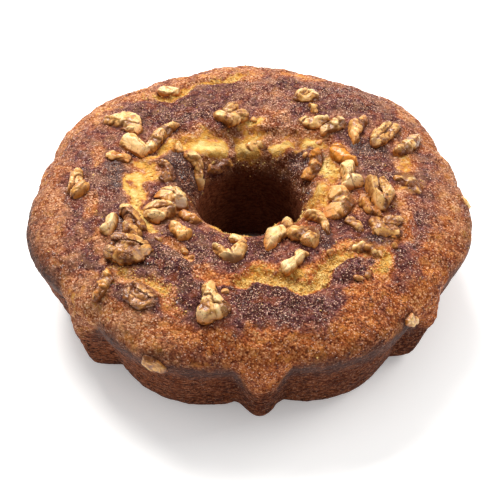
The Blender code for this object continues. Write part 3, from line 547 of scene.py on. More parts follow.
class Shader:
    """A material's nodes, built by short calls that return output sockets."""

    def __init__(self, name):
        self.material = bpy.data.materials.new(name)
        self.material.use_nodes = True
        self.tree = self.material.node_tree
        self.surface = self.tree.nodes["Principled BSDF"]
        coordinates = self.tree.nodes.new("ShaderNodeTexCoord")
        self.place = self.node("ShaderNodeVectorMath", {"Vector": coordinates.outputs["Object"],
                                                        "Scale": 1.0 / MM}, operation="SCALE")

    def put(self, socket, value):
        if isinstance(value, bpy.types.NodeSocket):
            self.tree.links.new(value, socket)
        else:
            socket.default_value = value

    def node(self, kind, inputs, output=0, **settings):
        made = self.tree.nodes.new(kind)
        for key, value in settings.items():
            setattr(made, key, value)
        for key, value in inputs.items():
            self.put(made.inputs[key], value)
        return made.outputs[output]

    def attribute(self, name):
        """Red, green and blue of a colour attribute of the mesh."""
        colour = self.node("ShaderNodeAttribute", {}, attribute_name=name)
        split = self.tree.nodes.new("ShaderNodeSeparateColor")
        self.put(split.inputs[0], colour)
        return split.outputs[0], split.outputs[1], split.outputs[2]

    def stretched(self, x, y, z):
        """The place in millimetres, scaled along each axis."""
        return self.node("ShaderNodeVectorMath", {0: self.place, 1: (x, y, z)},
                         operation="MULTIPLY")

    def noise(self, size, detail=2.0, roughness=0.55, place=None, distortion=0.0):
        """Noise from 0 to 1 with features about size millimetres wide."""
        return self.node("ShaderNodeTexNoise", {
            "Vector": place or self.place, "Scale": 1.0 / size, "Detail": detail,
            "Roughness": roughness, "Distortion": distortion})

    def cells(self, size, place=None, output=0, feature="F1"):
        """Distance to the nearest point of random ones about size millimetres apart."""
        return self.node("ShaderNodeTexVoronoi", {"Vector": place or self.place,
                                                  "Scale": 1.0 / size}, output, feature=feature)

    def grains(self, size):
        """Random grains: distance to the nearest one's middle, its random value, its random vector."""
        away = self.cells(size)
        colour = away.node.outputs["Color"]
        split = self.tree.nodes.new("ShaderNodeSeparateColor")
        self.put(split.inputs[0], colour)
        return away, split.outputs[0], colour

    def facets(self, directions, tilt):
        """Normals that lean over by a random direction in each grain."""
        normal = self.node("ShaderNodeNewGeometry", {}, "Normal")
        centred = self.node("ShaderNodeVectorMath", {0: directions, 1: (0.5, 0.5, 0.5)},
                            operation="SUBTRACT")
        leaning = self.node("ShaderNodeVectorMath", {0: centred, 1: (tilt, tilt, tilt), 2: normal},
                            operation="MULTIPLY_ADD")
        return self.node("ShaderNodeVectorMath", {0: leaning}, operation="NORMALIZE")

    def math(self, operation, a, b=0.0):
        return self.node("ShaderNodeMath", {0: a, 1: b}, operation=operation)

    def scale_add(self, value, scale, more):
        """value * scale + more"""
        return self.node("ShaderNodeMath", {0: value, 1: scale, 2: more}, operation="MULTIPLY_ADD")

    def ramp(self, value, stops):
        """Colour at value on a ramp of (position, colour) stops."""
        made = self.tree.nodes.new("ShaderNodeValToRGB")
        elements = made.color_ramp.elements
        elements[0].position, elements[0].color = stops[0]
        elements[1].position, elements[1].color = stops[-1]
        for position, colour in stops[1:-1]:
            elements.new(position).color = colour
        self.put(made.inputs[0], value)
        return made.outputs[0]

    def between(self, value, low, high):
        """0 at low and 1 at high, with a smooth S between them."""
        return self.node("ShaderNodeMapRange", {"Value": value, "From Min": low, "From Max": high},
                         interpolation_type="SMOOTHSTEP")

    def mix(self, share, low, high, blend="MIX"):
        made = self.tree.nodes.new("ShaderNodeMix")
        made.data_type = "RGBA"
        made.blend_type = blend
        self.put(made.inputs["Factor"], share)
        self.put(made.inputs[6], low)
        self.put(made.inputs[7], high)
        return made.outputs[2]

    def bump(self, height, distance, strength=1.0, normal=None):
        inputs = {"Height": height, "Distance": distance, "Strength": strength}
        if normal:
            inputs["Normal"] = normal
        return self.node("ShaderNodeBump", inputs)


def crust_material():
    """Baked crust, torn crumb and pan side, laid out by the mesh's painted zones."""
    shader = Shader("cake crust")
    bake, torn, wet = shader.attribute("skin")
    wall, hole, sugar = shader.attribute("parts")
    shade, painted_shade_and_sheen, painted_lit_side = shader.attribute("painted_light")

    grain = shader.noise(1.2, 2.0, 0.6)
    grit, grit_tone, _ = shader.grains(1.0)
    mottle = shader.noise(3.2, 3.0, 0.6)
    haze = shader.noise(8.0, 2.0, 0.5)
    browned = shader.between(shader.scale_add(mottle, 0.3, bake), 0.40, 0.56)
    rough_bake = shader.math("MAXIMUM", shader.between(bake, 0.25, 0.55), torn)
    coarse = shader.math("MULTIPLY", shader.math("SUBTRACT", mottle, 0.5),
                         shader.scale_add(rough_bake, 0.75, 0.25))
    coarse = shader.math("ADD", coarse, bake)
    fine = shader.scale_add(shader.math("SUBTRACT", grit_tone, 0.5), 0.30,
                            shader.scale_add(grain, 0.8, -0.4))
    fine = shader.scale_add(shader.between(grit, 0.42, 0.72), 0.14, fine)
    fine = shader.math("MULTIPLY", fine, shader.scale_add(sugar, 0.4, 1.0))
    value = shader.scale_add(coarse, -0.75, 0.93)
    golden = shader.ramp(shader.scale_add(fine, -1.5, value), [
        (0.05, linear(80, 28, 9)), (0.28, linear(134, 64, 28)), (0.50, linear(178, 100, 54)),
        (0.70, linear(206, 134, 82)), (0.95, linear(244, 186, 134))])
    value = shader.scale_add(shader.math("SUBTRACT", haze, 0.5), 0.5, value)
    purple = shader.ramp(shader.scale_add(fine, -0.62, value), [
        (0.0, linear(40, 13, 12)), (0.18, linear(74, 36, 37)), (0.34, linear(106, 66, 67)),
        (0.52, linear(138, 97, 96)), (0.80, linear(200, 152, 140))])
    tint = shader.noise(5.5, 2.0, 0.6)
    golden = shader.mix(shader.math("MULTIPLY", shader.between(tint, 0.53, 0.66), 0.40), golden,
                        linear(216, 142, 66))
    golden = shader.mix(shader.math("MULTIPLY", shader.between(tint, 0.47, 0.35), 0.45), golden,
                        linear(116, 54, 40))
    # Painted light: golden crust paler and greyer, purple crust a little darker and bluer, on the
    # sides the key light falls on
    golden = shader.mix(painted_lit_side, golden, (0.93, 1.13, 1.55, 1.0), "MULTIPLY")
    purple = shader.mix(painted_lit_side, purple, (0.84, 0.88, 0.98, 1.0), "MULTIPLY")
    crust = shader.mix(shader.between(bake, 0.52, 0.90), golden, purple)
    # Partly a real film of sugar dust, partly a painted pale veil of reflected light on the lit sides
    dust_and_painted_light = shader.math("MULTIPLY", shader.between(haze, 0.54, 0.36),
                        shader.scale_add(painted_lit_side, 0.26, 0.04))
    crust = shader.mix(dust_and_painted_light, crust, linear(196, 144, 112))
    pit = shader.between(shader.noise(2.2, 2.0, 0.6), 0.41, 0.33)
    crust = shader.mix(shader.math("MULTIPLY", pit, 0.55), crust, linear(64, 24, 14))
    crust = shader.mix(shader.math("MULTIPLY", wet, 0.75), crust, linear(58, 22, 14))
    crust = shader.mix(shader.math("MULTIPLY", shader.between(haze, 0.52, 0.64), 0.25), crust,
                       linear(176, 94, 40))
    crumb = shader.ramp(coarse, [
        (0.0, linear(238, 206, 134)), (0.14, linear(216, 176, 98)), (0.28, linear(204, 144, 60)),
        (0.42, linear(184, 88, 24))])
    pore, pore_tone, _ = shader.grains(1.7)
    pitted = shader.math("MULTIPLY", shader.between(pore, 0.42, 0.10), torn)
    crumb = shader.mix(shader.math("MULTIPLY", pitted, 0.75), crumb, linear(150, 92, 36))
    crumb = shader.mix(shader.math("MULTIPLY", shader.between(pore_tone, 0.7, 0.9), 0.35), crumb,
                       linear(248, 228, 168))
    body = shader.mix(browned, crumb, crust)

    slits = shader.noise(1.5, 2.0, 0.6, shader.stretched(0.50, 0.50, 1.30), 0.3)
    patchy = shader.noise(11.0, 2.0, 0.5)
    # Painted light and shade: the side is lighter where the key light falls on it
    side = shader.mix(painted_lit_side, linear(80, 33, 12), linear(124, 68, 43))
    side = shader.mix(shader.math("MULTIPLY", shader.between(patchy, 0.44, 0.62), 0.5), side,
                      linear(118, 62, 34))
    side = shader.mix(shader.between(fine, 0.10, 0.35), side, linear(50, 19, 8))
    side = shader.mix(shader.math("MULTIPLY", shader.between(fine, 0.0, -0.22), 0.5), side,
                      linear(172, 112, 76))
    side = shader.mix(shader.math("MULTIPLY", shader.between(slits, 0.57, 0.66), 0.6), side,
                      linear(156, 98, 70))
    side = shader.mix(shader.math("MULTIPLY", shader.between(slits, 0.47, 0.41),
                                  shader.scale_add(painted_lit_side, 0.35, 0.6)), side, linear(32, 9, 4))
    # Painted shadow under the rim's overhang: a dark band on the side
    side = shader.mix(shader.math("MULTIPLY", painted_shade_and_sheen, 0.7), side, linear(60, 35, 30))
    body = shader.mix(wall, body, side)
    deep = shader.mix(shader.between(slits, 0.35, 0.65), linear(104, 52, 34), linear(150, 90, 60))
    body = shader.mix(hole, body, deep)
    # Painted shade: browner on crumb, near black on crust
    body = shader.mix(shade, body, shader.mix(browned, linear(134, 80, 34), linear(56, 22, 10)))

    crystal, crystal_tone, crystal_lean = shader.grains(0.75)
    strewn = shader.math("MULTIPLY", browned, shader.scale_add(wall, -0.75, 1.0))
    strewn = shader.math("MULTIPLY", strewn, shader.scale_add(hole, -1.0, 1.0))
    dusted = shader.scale_add(sugar, 0.07, crystal_tone)
    dusted = shader.scale_add(shader.between(bake, 0.85, 0.50), -0.035, dusted)
    glint = shader.math("MULTIPLY", shader.between(dusted, 0.86, 0.91), strewn)
    glint = shader.math("MULTIPLY", glint, shader.between(crystal, 0.60, 0.35))
    # Painted highlights: bright glints in the base colour where sugar crystals would catch the light
    body = shader.mix(shader.math("MULTIPLY", glint, 0.8), body, linear(240, 190, 160))
    shader.put(shader.surface.inputs["Base Color"], body)

    rough = shader.scale_add(wet, -0.42, 0.62)
    shader.put(shader.surface.inputs["Roughness"], rough)
    shine = shader.scale_add(wet, 0.2, shader.scale_add(painted_shade_and_sheen, 0.16, 0.03))
    shader.put(shader.surface.inputs["Specular IOR Level"], shine)
    glaze = shader.math("MULTIPLY", shader.between(dusted, 0.70, 0.84),
                        shader.between(bake, 0.30, 0.85))
    shader.put(shader.surface.inputs["Coat Weight"], shader.math("MULTIPLY", glaze, strewn))
    shader.surface.inputs["Coat Roughness"].default_value = 0.22
    shader.put(shader.surface.inputs["Coat Normal"], shader.facets(crystal_lean, 1.3))
    lumps = shader.bump(shader.noise(2.6, 3.0, 0.6), 1.1 * MM, 0.8)
    gritty = shader.bump(shader.math("SUBTRACT", 1.0, grit), 0.5 * MM, 0.7, lumps)
    gritty = shader.bump(grain, 0.5 * MM, 0.7, gritty)
    pores = shader.bump(slits, 1.2 * MM, shader.math("MAXIMUM", wall, 0.1), gritty)
    shader.put(shader.surface.inputs["Normal"], pores)
    return shader.material


def walnut_material():
    """Walnut: cream broken faces, tan skin, painted amber shade low down, skin and painted shade in
    folds.
    """
    shader = Shader("walnut pieces")
    tone, rise, fold = shader.attribute("nut")
    dust, amber, _ = shader.attribute("coat")
    cloud = shader.noise(3.0, 3.0, 0.65)
    speck, speck_tone, _ = shader.grains(1.0)
    level = shader.scale_add(shader.math("SUBTRACT", cloud, 0.5), 1.1, tone)
    flesh = shader.ramp(level, [
        (0.0, linear(246, 212, 154)), (0.22, linear(234, 188, 118)), (0.45, linear(208, 152, 82)),
        (0.70, linear(162, 102, 48)), (1.0, linear(98, 50, 20))])
    flesh = shader.mix(shader.math("MULTIPLY", amber, shader.between(cloud, 0.30, 0.55)), flesh,
                       linear(226, 138, 34))
    # Painted shade: amber to brown low down on each nut
    low = shader.math("MULTIPLY", shader.between(rise, 0.78, 0.05), 0.9)
    low_shade_amber = shader.mix(shader.between(level, 0.10, 0.6), linear(196, 112, 28), linear(104, 50, 16))
    flesh = shader.mix(low, flesh, low_shade_amber)
    # Brown in the folds: skin there, and painted shade
    flesh = shader.mix(fold, flesh, linear(104, 52, 18))
    dots = shader.math("MULTIPLY", shader.between(speck_tone, 0.86, 0.92),
                       shader.between(speck, 0.50, 0.25))
    flesh = shader.mix(shader.math("MULTIPLY", dots, 0.7), flesh, linear(116, 66, 34))
    film = shader.mix(shader.between(speck_tone, 0.3, 0.75), linear(132, 82, 56),
                      linear(216, 168, 130))
    dusted = shader.math("MULTIPLY", dust, shader.between(shader.noise(1.6), 0.40, 0.60))
    flesh = shader.mix(shader.math("MULTIPLY", dusted, 0.75), flesh, film)
    shader.put(shader.surface.inputs["Base Color"], flesh)
    shader.put(shader.surface.inputs["Roughness"],
               shader.scale_add(dusted, 0.2, shader.scale_add(cloud, 0.4, 0.16)))
    shader.surface.inputs["Specular IOR Level"].default_value = 0.28
    shader.put(shader.surface.inputs["Coat Weight"],
               shader.math("MULTIPLY", shader.between(cloud, 0.42, 0.62), 0.5))
    shader.surface.inputs["Coat Roughness"].default_value = 0.16
    shader.surface.inputs["Subsurface Weight"].default_value = 0.15
    shader.surface.inputs["Subsurface Radius"].default_value = (1.0, 0.45, 0.15)
    shader.surface.inputs["Subsurface Scale"].default_value = 1.5 * MM
    veins = shader.bump(shader.noise(2.4, 3.0, 0.6), 0.5 * MM, 0.7)
    shader.put(shader.surface.inputs["Normal"], shader.bump(shader.noise(0.9), 0.15 * MM, 0.5, veins))
    return shader.material


def grain_material(name, dark, light, roughness, size):
    """Small grains of one kind, each a little lighter or darker than the next."""
    shader = Shader(name)
    shader.put(shader.surface.inputs["Base Color"],
               shader.mix(shader.between(shader.noise(size, 1.0), 0.35, 0.65), dark, light))
    shader.surface.inputs["Roughness"].default_value = roughness
    shader.surface.inputs["Specular IOR Level"].default_value = 0.3
    return shader.material


def paint(mesh, colours):
    """Colour attributes of a mesh, each of three values from 0 to 1 at every vertex."""
    for name, bands in colours.items():
        layer = mesh.attributes.new(name, "FLOAT_COLOR", "POINT")
        rgba = np.ones((len(mesh.vertices), 4), np.float32)
        rgba[:, :3] = np.clip(np.stack([np.ravel(band) for band in bands], -1), 0.0, 1.0)
        layer.data.foreach_set("color", rgba.ravel())


def mesh_object(name, points, faces, material, colours=None):
    """Object of a mesh given in millimetres, with colour attributes."""
    mesh = bpy.data.meshes.new(name)
    mesh.from_pydata(onto_frame(points).tolist(), [], faces.tolist())
    paint(mesh, colours or {})
    mesh.materials.append(material)
    mesh.shade_smooth()
    made = bpy.data.objects.new(name, mesh)
    bpy.context.scene.collection.objects.link(made)
    return made


def cut_caps(points, count, depth, rng):
    """Points with outer caps cut off flat, and how much each lies in such a broken face."""
    broken = np.zeros(len(points))
    for _ in range(count):
        turn, lean = rng.uniform(0, 2 * math.pi), rng.uniform(-0.1, 1.2)
        out = np.array([math.cos(turn) * math.cos(lean), math.sin(turn) * math.cos(lean),
                        math.sin(lean)])
        reach = points @ out
        over = reach - reach.max() + depth * rng.uniform(0.6, 1.3)
        points = points - out * np.maximum(over, 0.0)[:, None]
        broken = np.maximum(broken, smooth_step(-0.1, 0.2, over))
    return points, broken


def break_faces(points, normals, size, rng):
    """Shift of each point onto flat faces about size wide, and a random tone of each face."""
    centres = []
    for number in rng.permutation(len(points)):
        if not centres or np.linalg.norm(points[centres] - points[number], axis=1).min() > size:
            centres.append(number)
    away = np.linalg.norm(points[:, None] - points[centres][None], axis=2)
    share = np.exp(-4.0 * (away - away.min(1, keepdims=True)))
    share /= share.sum(1, keepdims=True)
    weight = share.T / share.T.sum(1, keepdims=True)
    middle, outward = weight @ points, weight @ normals
    outward /= np.linalg.norm(outward, axis=1)[:, None]
    depth = np.clip((middle * outward).sum(1)[None] - points @ outward.T, -1.2, 1.2)
    tones = rng.normal(size=len(centres))
    return (share * depth) @ outward, share @ tones


def smoothed(values, edges):
    """Values or points of a mesh, half way to the mean of their neighbours."""
    total = np.zeros_like(values)
    np.add.at(total, edges[:, 0], values[edges[:, 1]])
    np.add.at(total, edges[:, 1], values[edges[:, 0]])
    return 0.5 * values + 0.5 * (total.T / np.bincount(edges.ravel(), minlength=len(values))).T


def hollowness(points, normals, edges):
    """How far each point lies below the middle of its neighbours, in millimetres, smoothed."""
    hollow = ((smoothed(points, edges) - points) * normals).sum(1) * 12.0
    for _ in range(3):
        hollow = smoothed(hollow, edges)
    return hollow


def groove(places, knobs, lobe, size):
    """How close each point lies, in plan, to the line between two lobes, 0 to 1."""
    numbers = np.unique(lobe)
    if len(numbers) < 2:
        return np.zeros(len(places))
    x, y, radius_x, radius_y = knobs
    away = np.hypot((places[:, :1] - x) / radius_x, (places[:, 1:2] - y) / radius_y) - 1
    away *= (radius_x + radius_y) / 2
    nearest = np.sort([away[:, lobe == number].min(1) for number in numbers], axis=0)
    return 1 - smooth_step(0.1, size, nearest[1] - nearest[0])


def make_walnut(name, frame, row, seed, material):
    """Walnut piece: knobs fused by a fine voxel grid, then lumps, folds and broken faces."""
    shape, length, width, height, tone, skin = row
    between = 4
    knobs, lobe = [], []
    for chain_number, chain in enumerate(SHAPES[shape]):
        for number, (start, end) in enumerate(zip(np.array(chain[:-1]), np.array(chain[1:]))):
            knobs += [start + (end - start) * step / between for step in range(between + 1)]
            each = number if shape in ("mass", "leaf") else 0
            lobe += [10 * chain_number + each] * (between + 1)
    knobs, lobe = np.array(knobs) * (length, width, abs(width), height), np.array(lobe)
    x, y, radius, top = knobs.T
    if len(SHAPES[shape]) > 1:
        radius *= NUT_LEAN
    for values, size in ((x, length), (y, abs(width))):
        low, high = (values - radius).min(), (values + radius).max()
        values -= (low + high) / 2
        values *= size / (high - low)
    scale_x = length / ((knobs[:, 0] + radius).max() - (knobs[:, 0] - radius).min())
    scale_y = abs(width) / ((knobs[:, 1] + radius).max() - (knobs[:, 1] - radius).min())
    points = bmesh.new()
    for knob_x, knob_y, knob_radius, knob_top in zip(x, y, radius, top):
        half = (knob_top + NUT_SINK) / 2
        place = Matrix.Translation((knob_x, knob_y, knob_top - half))
        size = Matrix.Diagonal((knob_radius * scale_x, knob_radius * scale_y, half, 1.0))
        bmesh.ops.create_icosphere(points, subdivisions=3, radius=1.0, matrix=place @ size)
    mesh = bpy.data.meshes.new(name)
    points.to_mesh(mesh)
    points.free()
    nut = bpy.data.objects.new(name, mesh)
    bpy.context.scene.collection.objects.link(nut)
    remesh = nut.modifiers.new("fuse", "REMESH")
    remesh.mode = "VOXEL"
    remesh.voxel_size = NUT_VOXEL
    smooth = nut.modifiers.new("smooth", "SMOOTH")
    smooth.factor = 0.5
    smooth.iterations = 3
    evaluated = nut.evaluated_get(bpy.context.evaluated_depsgraph_get())
    mesh = bpy.data.meshes.new_from_object(evaluated)
    old_mesh, nut.data = nut.data, mesh
    nut.modifiers.clear()
    bpy.data.meshes.remove(old_mesh)

    places = np.array([vertex.co for vertex in mesh.vertices])
    normals = np.array([vertex.normal for vertex in mesh.vertices])
    rng = np.random.default_rng(int(seed * 100))
    edges = np.array([edge.vertices for edge in mesh.edges])
    above = smooth_step(-1.5, 0.5, places[:, 2])[:, None]
    shift, face_tone = break_faces(places, normals, 5.5, rng)
    places = smoothed(places + (0.8 - 0.55 * skin) * shift * above, edges)
    mesh.vertices.foreach_set("co", places.ravel())
    mesh.update()
    normals = np.array([vertex.normal for vertex in mesh.vertices])
    lobes = np.sqrt(np.clip(np.abs(noise_field(places, 8.0, seed + 3.1)) / 0.42, 0.0, 1.0))
    frills = np.sqrt(np.clip(np.abs(noise_field(places, 4.4, seed + 7.7)) / 0.42, 0.0, 1.0))
    push = ((0.50 + 0.8 * skin) * (lobes - 0.75) + (0.70 + 0.3 * skin) * (frills - 0.65)
            + 0.3 * noise_field(places, 5.0, seed))
    cleft = groove(places + 0.5 * shift, (x, y, radius * scale_x, radius * scale_y), lobe, 1.3)
    push -= (0.5 + 0.09 * height) * cleft * smooth_step(0.0, 0.6, normals[:, 2])
    places = places + normals * push[:, None] * above
    places, broken = cut_caps(places, round(5 - 3 * skin), 0.14 * min(abs(width), 2 * height), rng)
    places = smoothed(places, edges)
    fold = hollowness(places, normals, edges)
    rise = np.clip(places[:, 2] / height, 0.0, 1.0)
    level = tone + 0.14 * face_tone + 0.22 * noise_field(places, 6.0, seed + 5.5)
    level -= 0.25 * broken
    # Painted light: paler on bulges as a painted highlight, darker in creases as painted shade
    level += 0.12 * (1 - lobes) + 0.16 * (1 - frills) - 0.2 * smooth_step(0.0, -0.35, fold)
    # Brown in hollows, creases and the grooves between lobes: skin there, and painted shade
    fold = np.maximum(0.9 * smooth_step(0.02, 0.45, fold), 0.6 * smooth_step(0.40, 0.10, lobes))
    fold = np.maximum(fold, 0.75 * cleft)
    dust = np.clip(1.3 * skin - 0.1, 0.0, 1.0) * smooth_step(-0.25, 0.25, noise_field(
        places, 5.0, seed + 9.9)) * smooth_step(0.1, 0.6, normals[:, 2]) * (1 - 0.8 * broken)
    placed = places @ np.array(frame.to_3x3()).T + np.array(frame.translation) / MM
    mesh.vertices.foreach_set("co", onto_frame(placed).ravel())
    glow = np.full_like(dust, AMBER_NUTS.get(name[:len("walnut_00")], 0.0))
    paint(mesh, {"nut": (level, rise, fold), "coat": (dust, glow, dust)})
    mesh.materials.append(material)
    mesh.shade_smooth()
    mesh.update()
    outward = normals @ np.array(frame.to_3x3()).T
    return nut, np.column_stack([placed, outward, dust])


def make_walnuts(material):
    """All walnut nodes' detailed pieces; points in millimetres, normals and dust of them all."""
    spots = [(dome_frame(x, y, heading), (shape, *rest))
             for shape, x, y, heading, *rest in DOME_NUTS]
    spots += [(cake_frame(azimuth, find_place(SIDE_START, SIDE_NUT_END, height, 1), turn),
               (shape, *rest)) for shape, azimuth, height, turn, *rest in SIDE_NUTS]
    spots += [(cake_frame(azimuth, find_place(LIP_START, LIP, height, 1), turn), (shape, *rest))
              for shape, azimuth, height, turn, *rest in LIP_NUTS]
    clouds = []
    for number, (frame, row) in enumerate(spots, start=1):
        node = f"walnut_{number:02d}"
        nut, cloud = make_walnut(f"{node}_piece", frame, row, 1.37 * number, material)
        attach(nut, "root")
        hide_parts(node)
        clouds.append(cloud)
    cloud = np.concatenate(clouds)
    return cloud[:, :3], cloud[:, 3:6], cloud[:, 6]


def distance_to_cloud(points, cloud, reach):
    """Distance from each point to the nearest of a cloud, at most reach."""
    tree = kdtree.KDTree(len(cloud))
    for number, point in enumerate(cloud):
        tree.insert(point, number)
    tree.balance()
    low, high = cloud.min(0) - reach, cloud.max(0) + reach
    inside = np.all((points > low) & (points < high), axis=-1)
    away = np.full(points.shape[:-1], reach)
    away[inside] = [min(reach, tree.find(point)[2]) for point in points[inside]]
    return away


def make_cake(material, nut_cloud):
    """The fine cake mesh, and the grids of its points, outward normals and zones."""
    places = ring_places()
    azimuths = np.arange(RING_SEGMENTS) * 360.0 / RING_SEGMENTS
    azimuth, place = np.meshgrid(azimuths, places, indexing="ij")
    skin = cake_skin(azimuth, place)
    round_it = np.roll(skin, -1, 0) - np.roll(skin, 1, 0)
    over_it = np.roll(skin, -1, 1) - np.roll(skin, 1, 1)
    normals = np.cross(round_it, over_it)
    normals /= np.linalg.norm(normals, axis=-1)[..., None]

    x, y, z = (skin[..., axis] for axis in range(3))
    warp_x = 2.6 * noise_field(skin, 8.0, 3.0) + 1.6 * noise_field(skin, 3.0, 9.0)
    warp_y = 2.6 * noise_field(skin, 8.0, 6.0) + 1.6 * noise_field(skin, 3.0, 15.0)
    bake = 0.54 + 0.20 * noise_field(skin, 13.0, 25.0) + 0.16 * noise_field(skin, 5.5, 35.0)
    bake += 0.08 * (1 - smooth_step(92.0, 106.0, np.hypot(x, y)))
    torn = np.zeros_like(x)
    for tint, tear, width, soft, line in STROKES:
        mask = stroke(x + warp_x, y + warp_y, width, soft, line)
        bake = bake + (tint - bake) * mask
        torn = torn + (tear - torn) * mask
    on_dome = smooth_step(50.0, 56.0, z)
    uneven = 0.14 * noise_field(skin, 10.0, 45.0) + 0.12 * noise_field(skin, 4.0, 55.0)
    bake = bake + uneven * smooth_step(0.15, 0.5, bake)
    bake = 0.56 + (bake - 0.56) * on_dome
    torn = torn * on_dome
    inside = (place > LIP_START) & (place < FLAT_START)
    bake = bake + np.where(inside, 0.16 * smooth_step(67.0, 58.0, z), 0.0)
    wet = zone(x + warp_x, y + warp_y, WET) * on_dome
    sugar = zone(x + 1.6 * warp_x, y + 1.6 * warp_y, SUGAR)

    away = ridge_distance(azimuth)
    crust_end = 56.5 - 20.0 * (1 - smooth_step(2.0, 10.0, away)) + 2.5 * noise_field(skin, 12.0, 2.0)
    from_left = np.abs((azimuth - BARE_SIDE + 180.0) % 360.0 - 180.0)
    crust_end += 4.5 * (1 - smooth_step(12.0, 34.0, from_left))
    outside = (place <= RIM + 3) | (place >= FLAT_END)
    wall = np.where(outside, 1 - smooth_step(-7.0, 5.0, z - crust_end + 1.6 * warp_x), 0.0)
    below = crust_end - z
    # Painted shadow under the rim's overhang: a band just below the crust's edge, away from the
    # ridges; the same band also gets a little more shine
    painted_shade_and_sheen = wall * smooth_step(-4.0, 3.0, below) * (1 - smooth_step(6.0, 20.0, below))
    painted_shade_and_sheen *= smooth_step(2.0, 7.0, away) * (0.8 + 0.2 * (1 - smooth_step(9.0, 18.0, away)))
    # Painted light and shade: lighter on the sides the key light falls on, darker on the side away
    # from it and near the floor
    from_shaded_side = np.abs((azimuth - SHADED_SIDE + 180.0) % 360.0 - 180.0)
    painted_lit_side = smooth_step(30.0, 62.0, from_shaded_side) * smooth_step(2.0, 16.0, z)
    hole = np.where(inside, 1 - smooth_step(50.0, 57.0, z + 1.2 * warp_y), 0.0)
    near = distance_to_cloud(skin, nut_cloud, 3.0)
    # Painted shade: contact shadows round the walnuts, shade inside the hole (weaker on the lit left
    # wall) and in the DIM zones
    shade = 0.60 * (1 - smooth_step(0.1, 1.8, near)) * smooth_step(0.1, 0.5, bake)
    painted_hole_shade = 0.62 - 0.40 * smooth_step(-8.0, -24.0, x)
    shade = np.maximum(shade, np.where(inside, painted_hole_shade * smooth_step(67.0, 59.0, z + warp_y), 0.0))
    shade = np.maximum(shade, 0.42 * zone(x + 0.4 * warp_x, y + 0.4 * warp_y, DIM))

    creases = np.max([depth * stroke(x + 0.6 * warp_x, y + 0.6 * warp_y, width, 0.9, line)
                      for width, depth, line in CREASES], axis=0)
    swellings = sum(high * np.exp(-((x - at_x) ** 2 + (y - at_y) ** 2) / (0.32 * size ** 2))
                    for at_x, at_y, size, high in SWELLINGS)
    pocked = 1 - smooth_step(0.0, 0.35, noise_field(skin, 3.4, 41.0) + 0.55)
    wrinkle = 1 - smooth_step(0.0, 0.22, np.abs(noise_field(skin, 11.0, 71.0)))
    slits = noise_field(skin * np.array([0.45, 0.45, 1.5]), 3.0, 51.0)
    top = 1 - wall
    relief = top * (0.8 * noise_field(skin, 13.0, 81.0) + 0.5 * noise_field(skin, 5.0, 31.0)
                    + 0.3 * noise_field(skin, 2.4, 21.0) - 0.5 * pocked - 0.45 * wrinkle)
    relief += on_dome * (swellings - creases) + 0.5 * top * (1 - smooth_step(0.5, 3.0, near))
    relief += torn * (1.0 * noise_field(skin, 3.0, 61.0) + 0.5 * noise_field(skin, 1.7, 65.0) - 0.5)
    relief += wall * (0.35 * slits + 0.3 * noise_field(skin, 1.9, 91.0))
    relief += 0.5 * top * np.where(outside, smooth_step(6.0, 0.0, np.abs(z - crust_end)), 0)
    on_base = (place >= FLAT_START) & (place <= FLAT_END)
    relief = np.where(on_base, 0.0, relief * smooth_step(0.0, EVEN_BELOW, z))
    points = skin + normals * relief[..., None]
    points[..., 2] = np.maximum(points[..., 2], 0.0)

    rings = len(places)
    index = np.arange(RING_SEGMENTS * rings).reshape(RING_SEGMENTS, rings)
    ahead, over = np.roll(index, -1, 0), np.roll(index, -1, 1)
    both = np.roll(ahead, -1, 1)
    faces = np.stack([index, ahead, both, over], -1).reshape(-1, 4)
    colours = {"skin": (bake, torn, wet), "parts": (wall, hole, sugar),
               "painted_light": (shade, painted_shade_and_sheen, painted_lit_side)}
    cake = mesh_object("cake_crust", points.reshape(-1, 3), faces, material, colours)
    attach(cake, "root")
    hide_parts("cake")
    return {"points": points, "normals": normals, "bake": bake, "torn": torn, "sugar": sugar,
            "wall": wall, "hole": hole, "near": near}


GEM = np.array([(1, 0, 0), (-1, 0, 0), (0, 1, 0), (0, -1, 0), (0, 0, 1), (0, 0, -1)], float)
GEM_FACES = np.array([(0, 2, 4), (2, 1, 4), (1, 3, 4), (3, 0, 4),
                      (2, 0, 5), (1, 2, 5), (3, 1, 5), (0, 3, 5)])


def random_turns(count, rng):
    """Random rotation matrices."""
    q = rng.normal(size=(count, 4))
    w, x, y, z = (q / np.linalg.norm(q, axis=1)[:, None]).T
    rows = [(1 - 2 * (y * y + z * z), 2 * (x * y - z * w), 2 * (x * z + y * w)),
            (2 * (x * y + z * w), 1 - 2 * (x * x + z * z), 2 * (y * z - x * w)),
            (2 * (x * z - y * w), 2 * (y * z + x * w), 1 - 2 * (x * x + y * y))]
    return np.stack([np.stack(row, -1) for row in rows], -2)


def cake_spots(grids, weights, count, rng):
    """Random points of the cake's crust by weight, with their normals."""
    points, normals = grids["points"], grids["normals"]
    step_round = np.roll(points, -1, 0) - points
    step_over = np.roll(points, -1, 1) - points
    area = np.linalg.norm(np.cross(step_round, step_over), axis=-1)
    chance = (np.maximum(weights, 0.0) * area).ravel()
    chosen = rng.choice(chance.size, size=count, p=chance / chance.sum())
    share = rng.random((2, count, 1))
    spots = points.reshape(-1, 3)[chosen] + share[0] * step_round.reshape(-1, 3)[chosen]
    spots = spots + share[1] * step_over.reshape(-1, 3)[chosen]
    return spots, normals.reshape(-1, 3)[chosen]


def nut_spots(points, normals, weights, count, rng):
    """Random points of the walnuts by weight, with their normals."""
    chosen = rng.choice(len(points), size=count, p=weights / weights.sum())
    return points[chosen], normals[chosen]


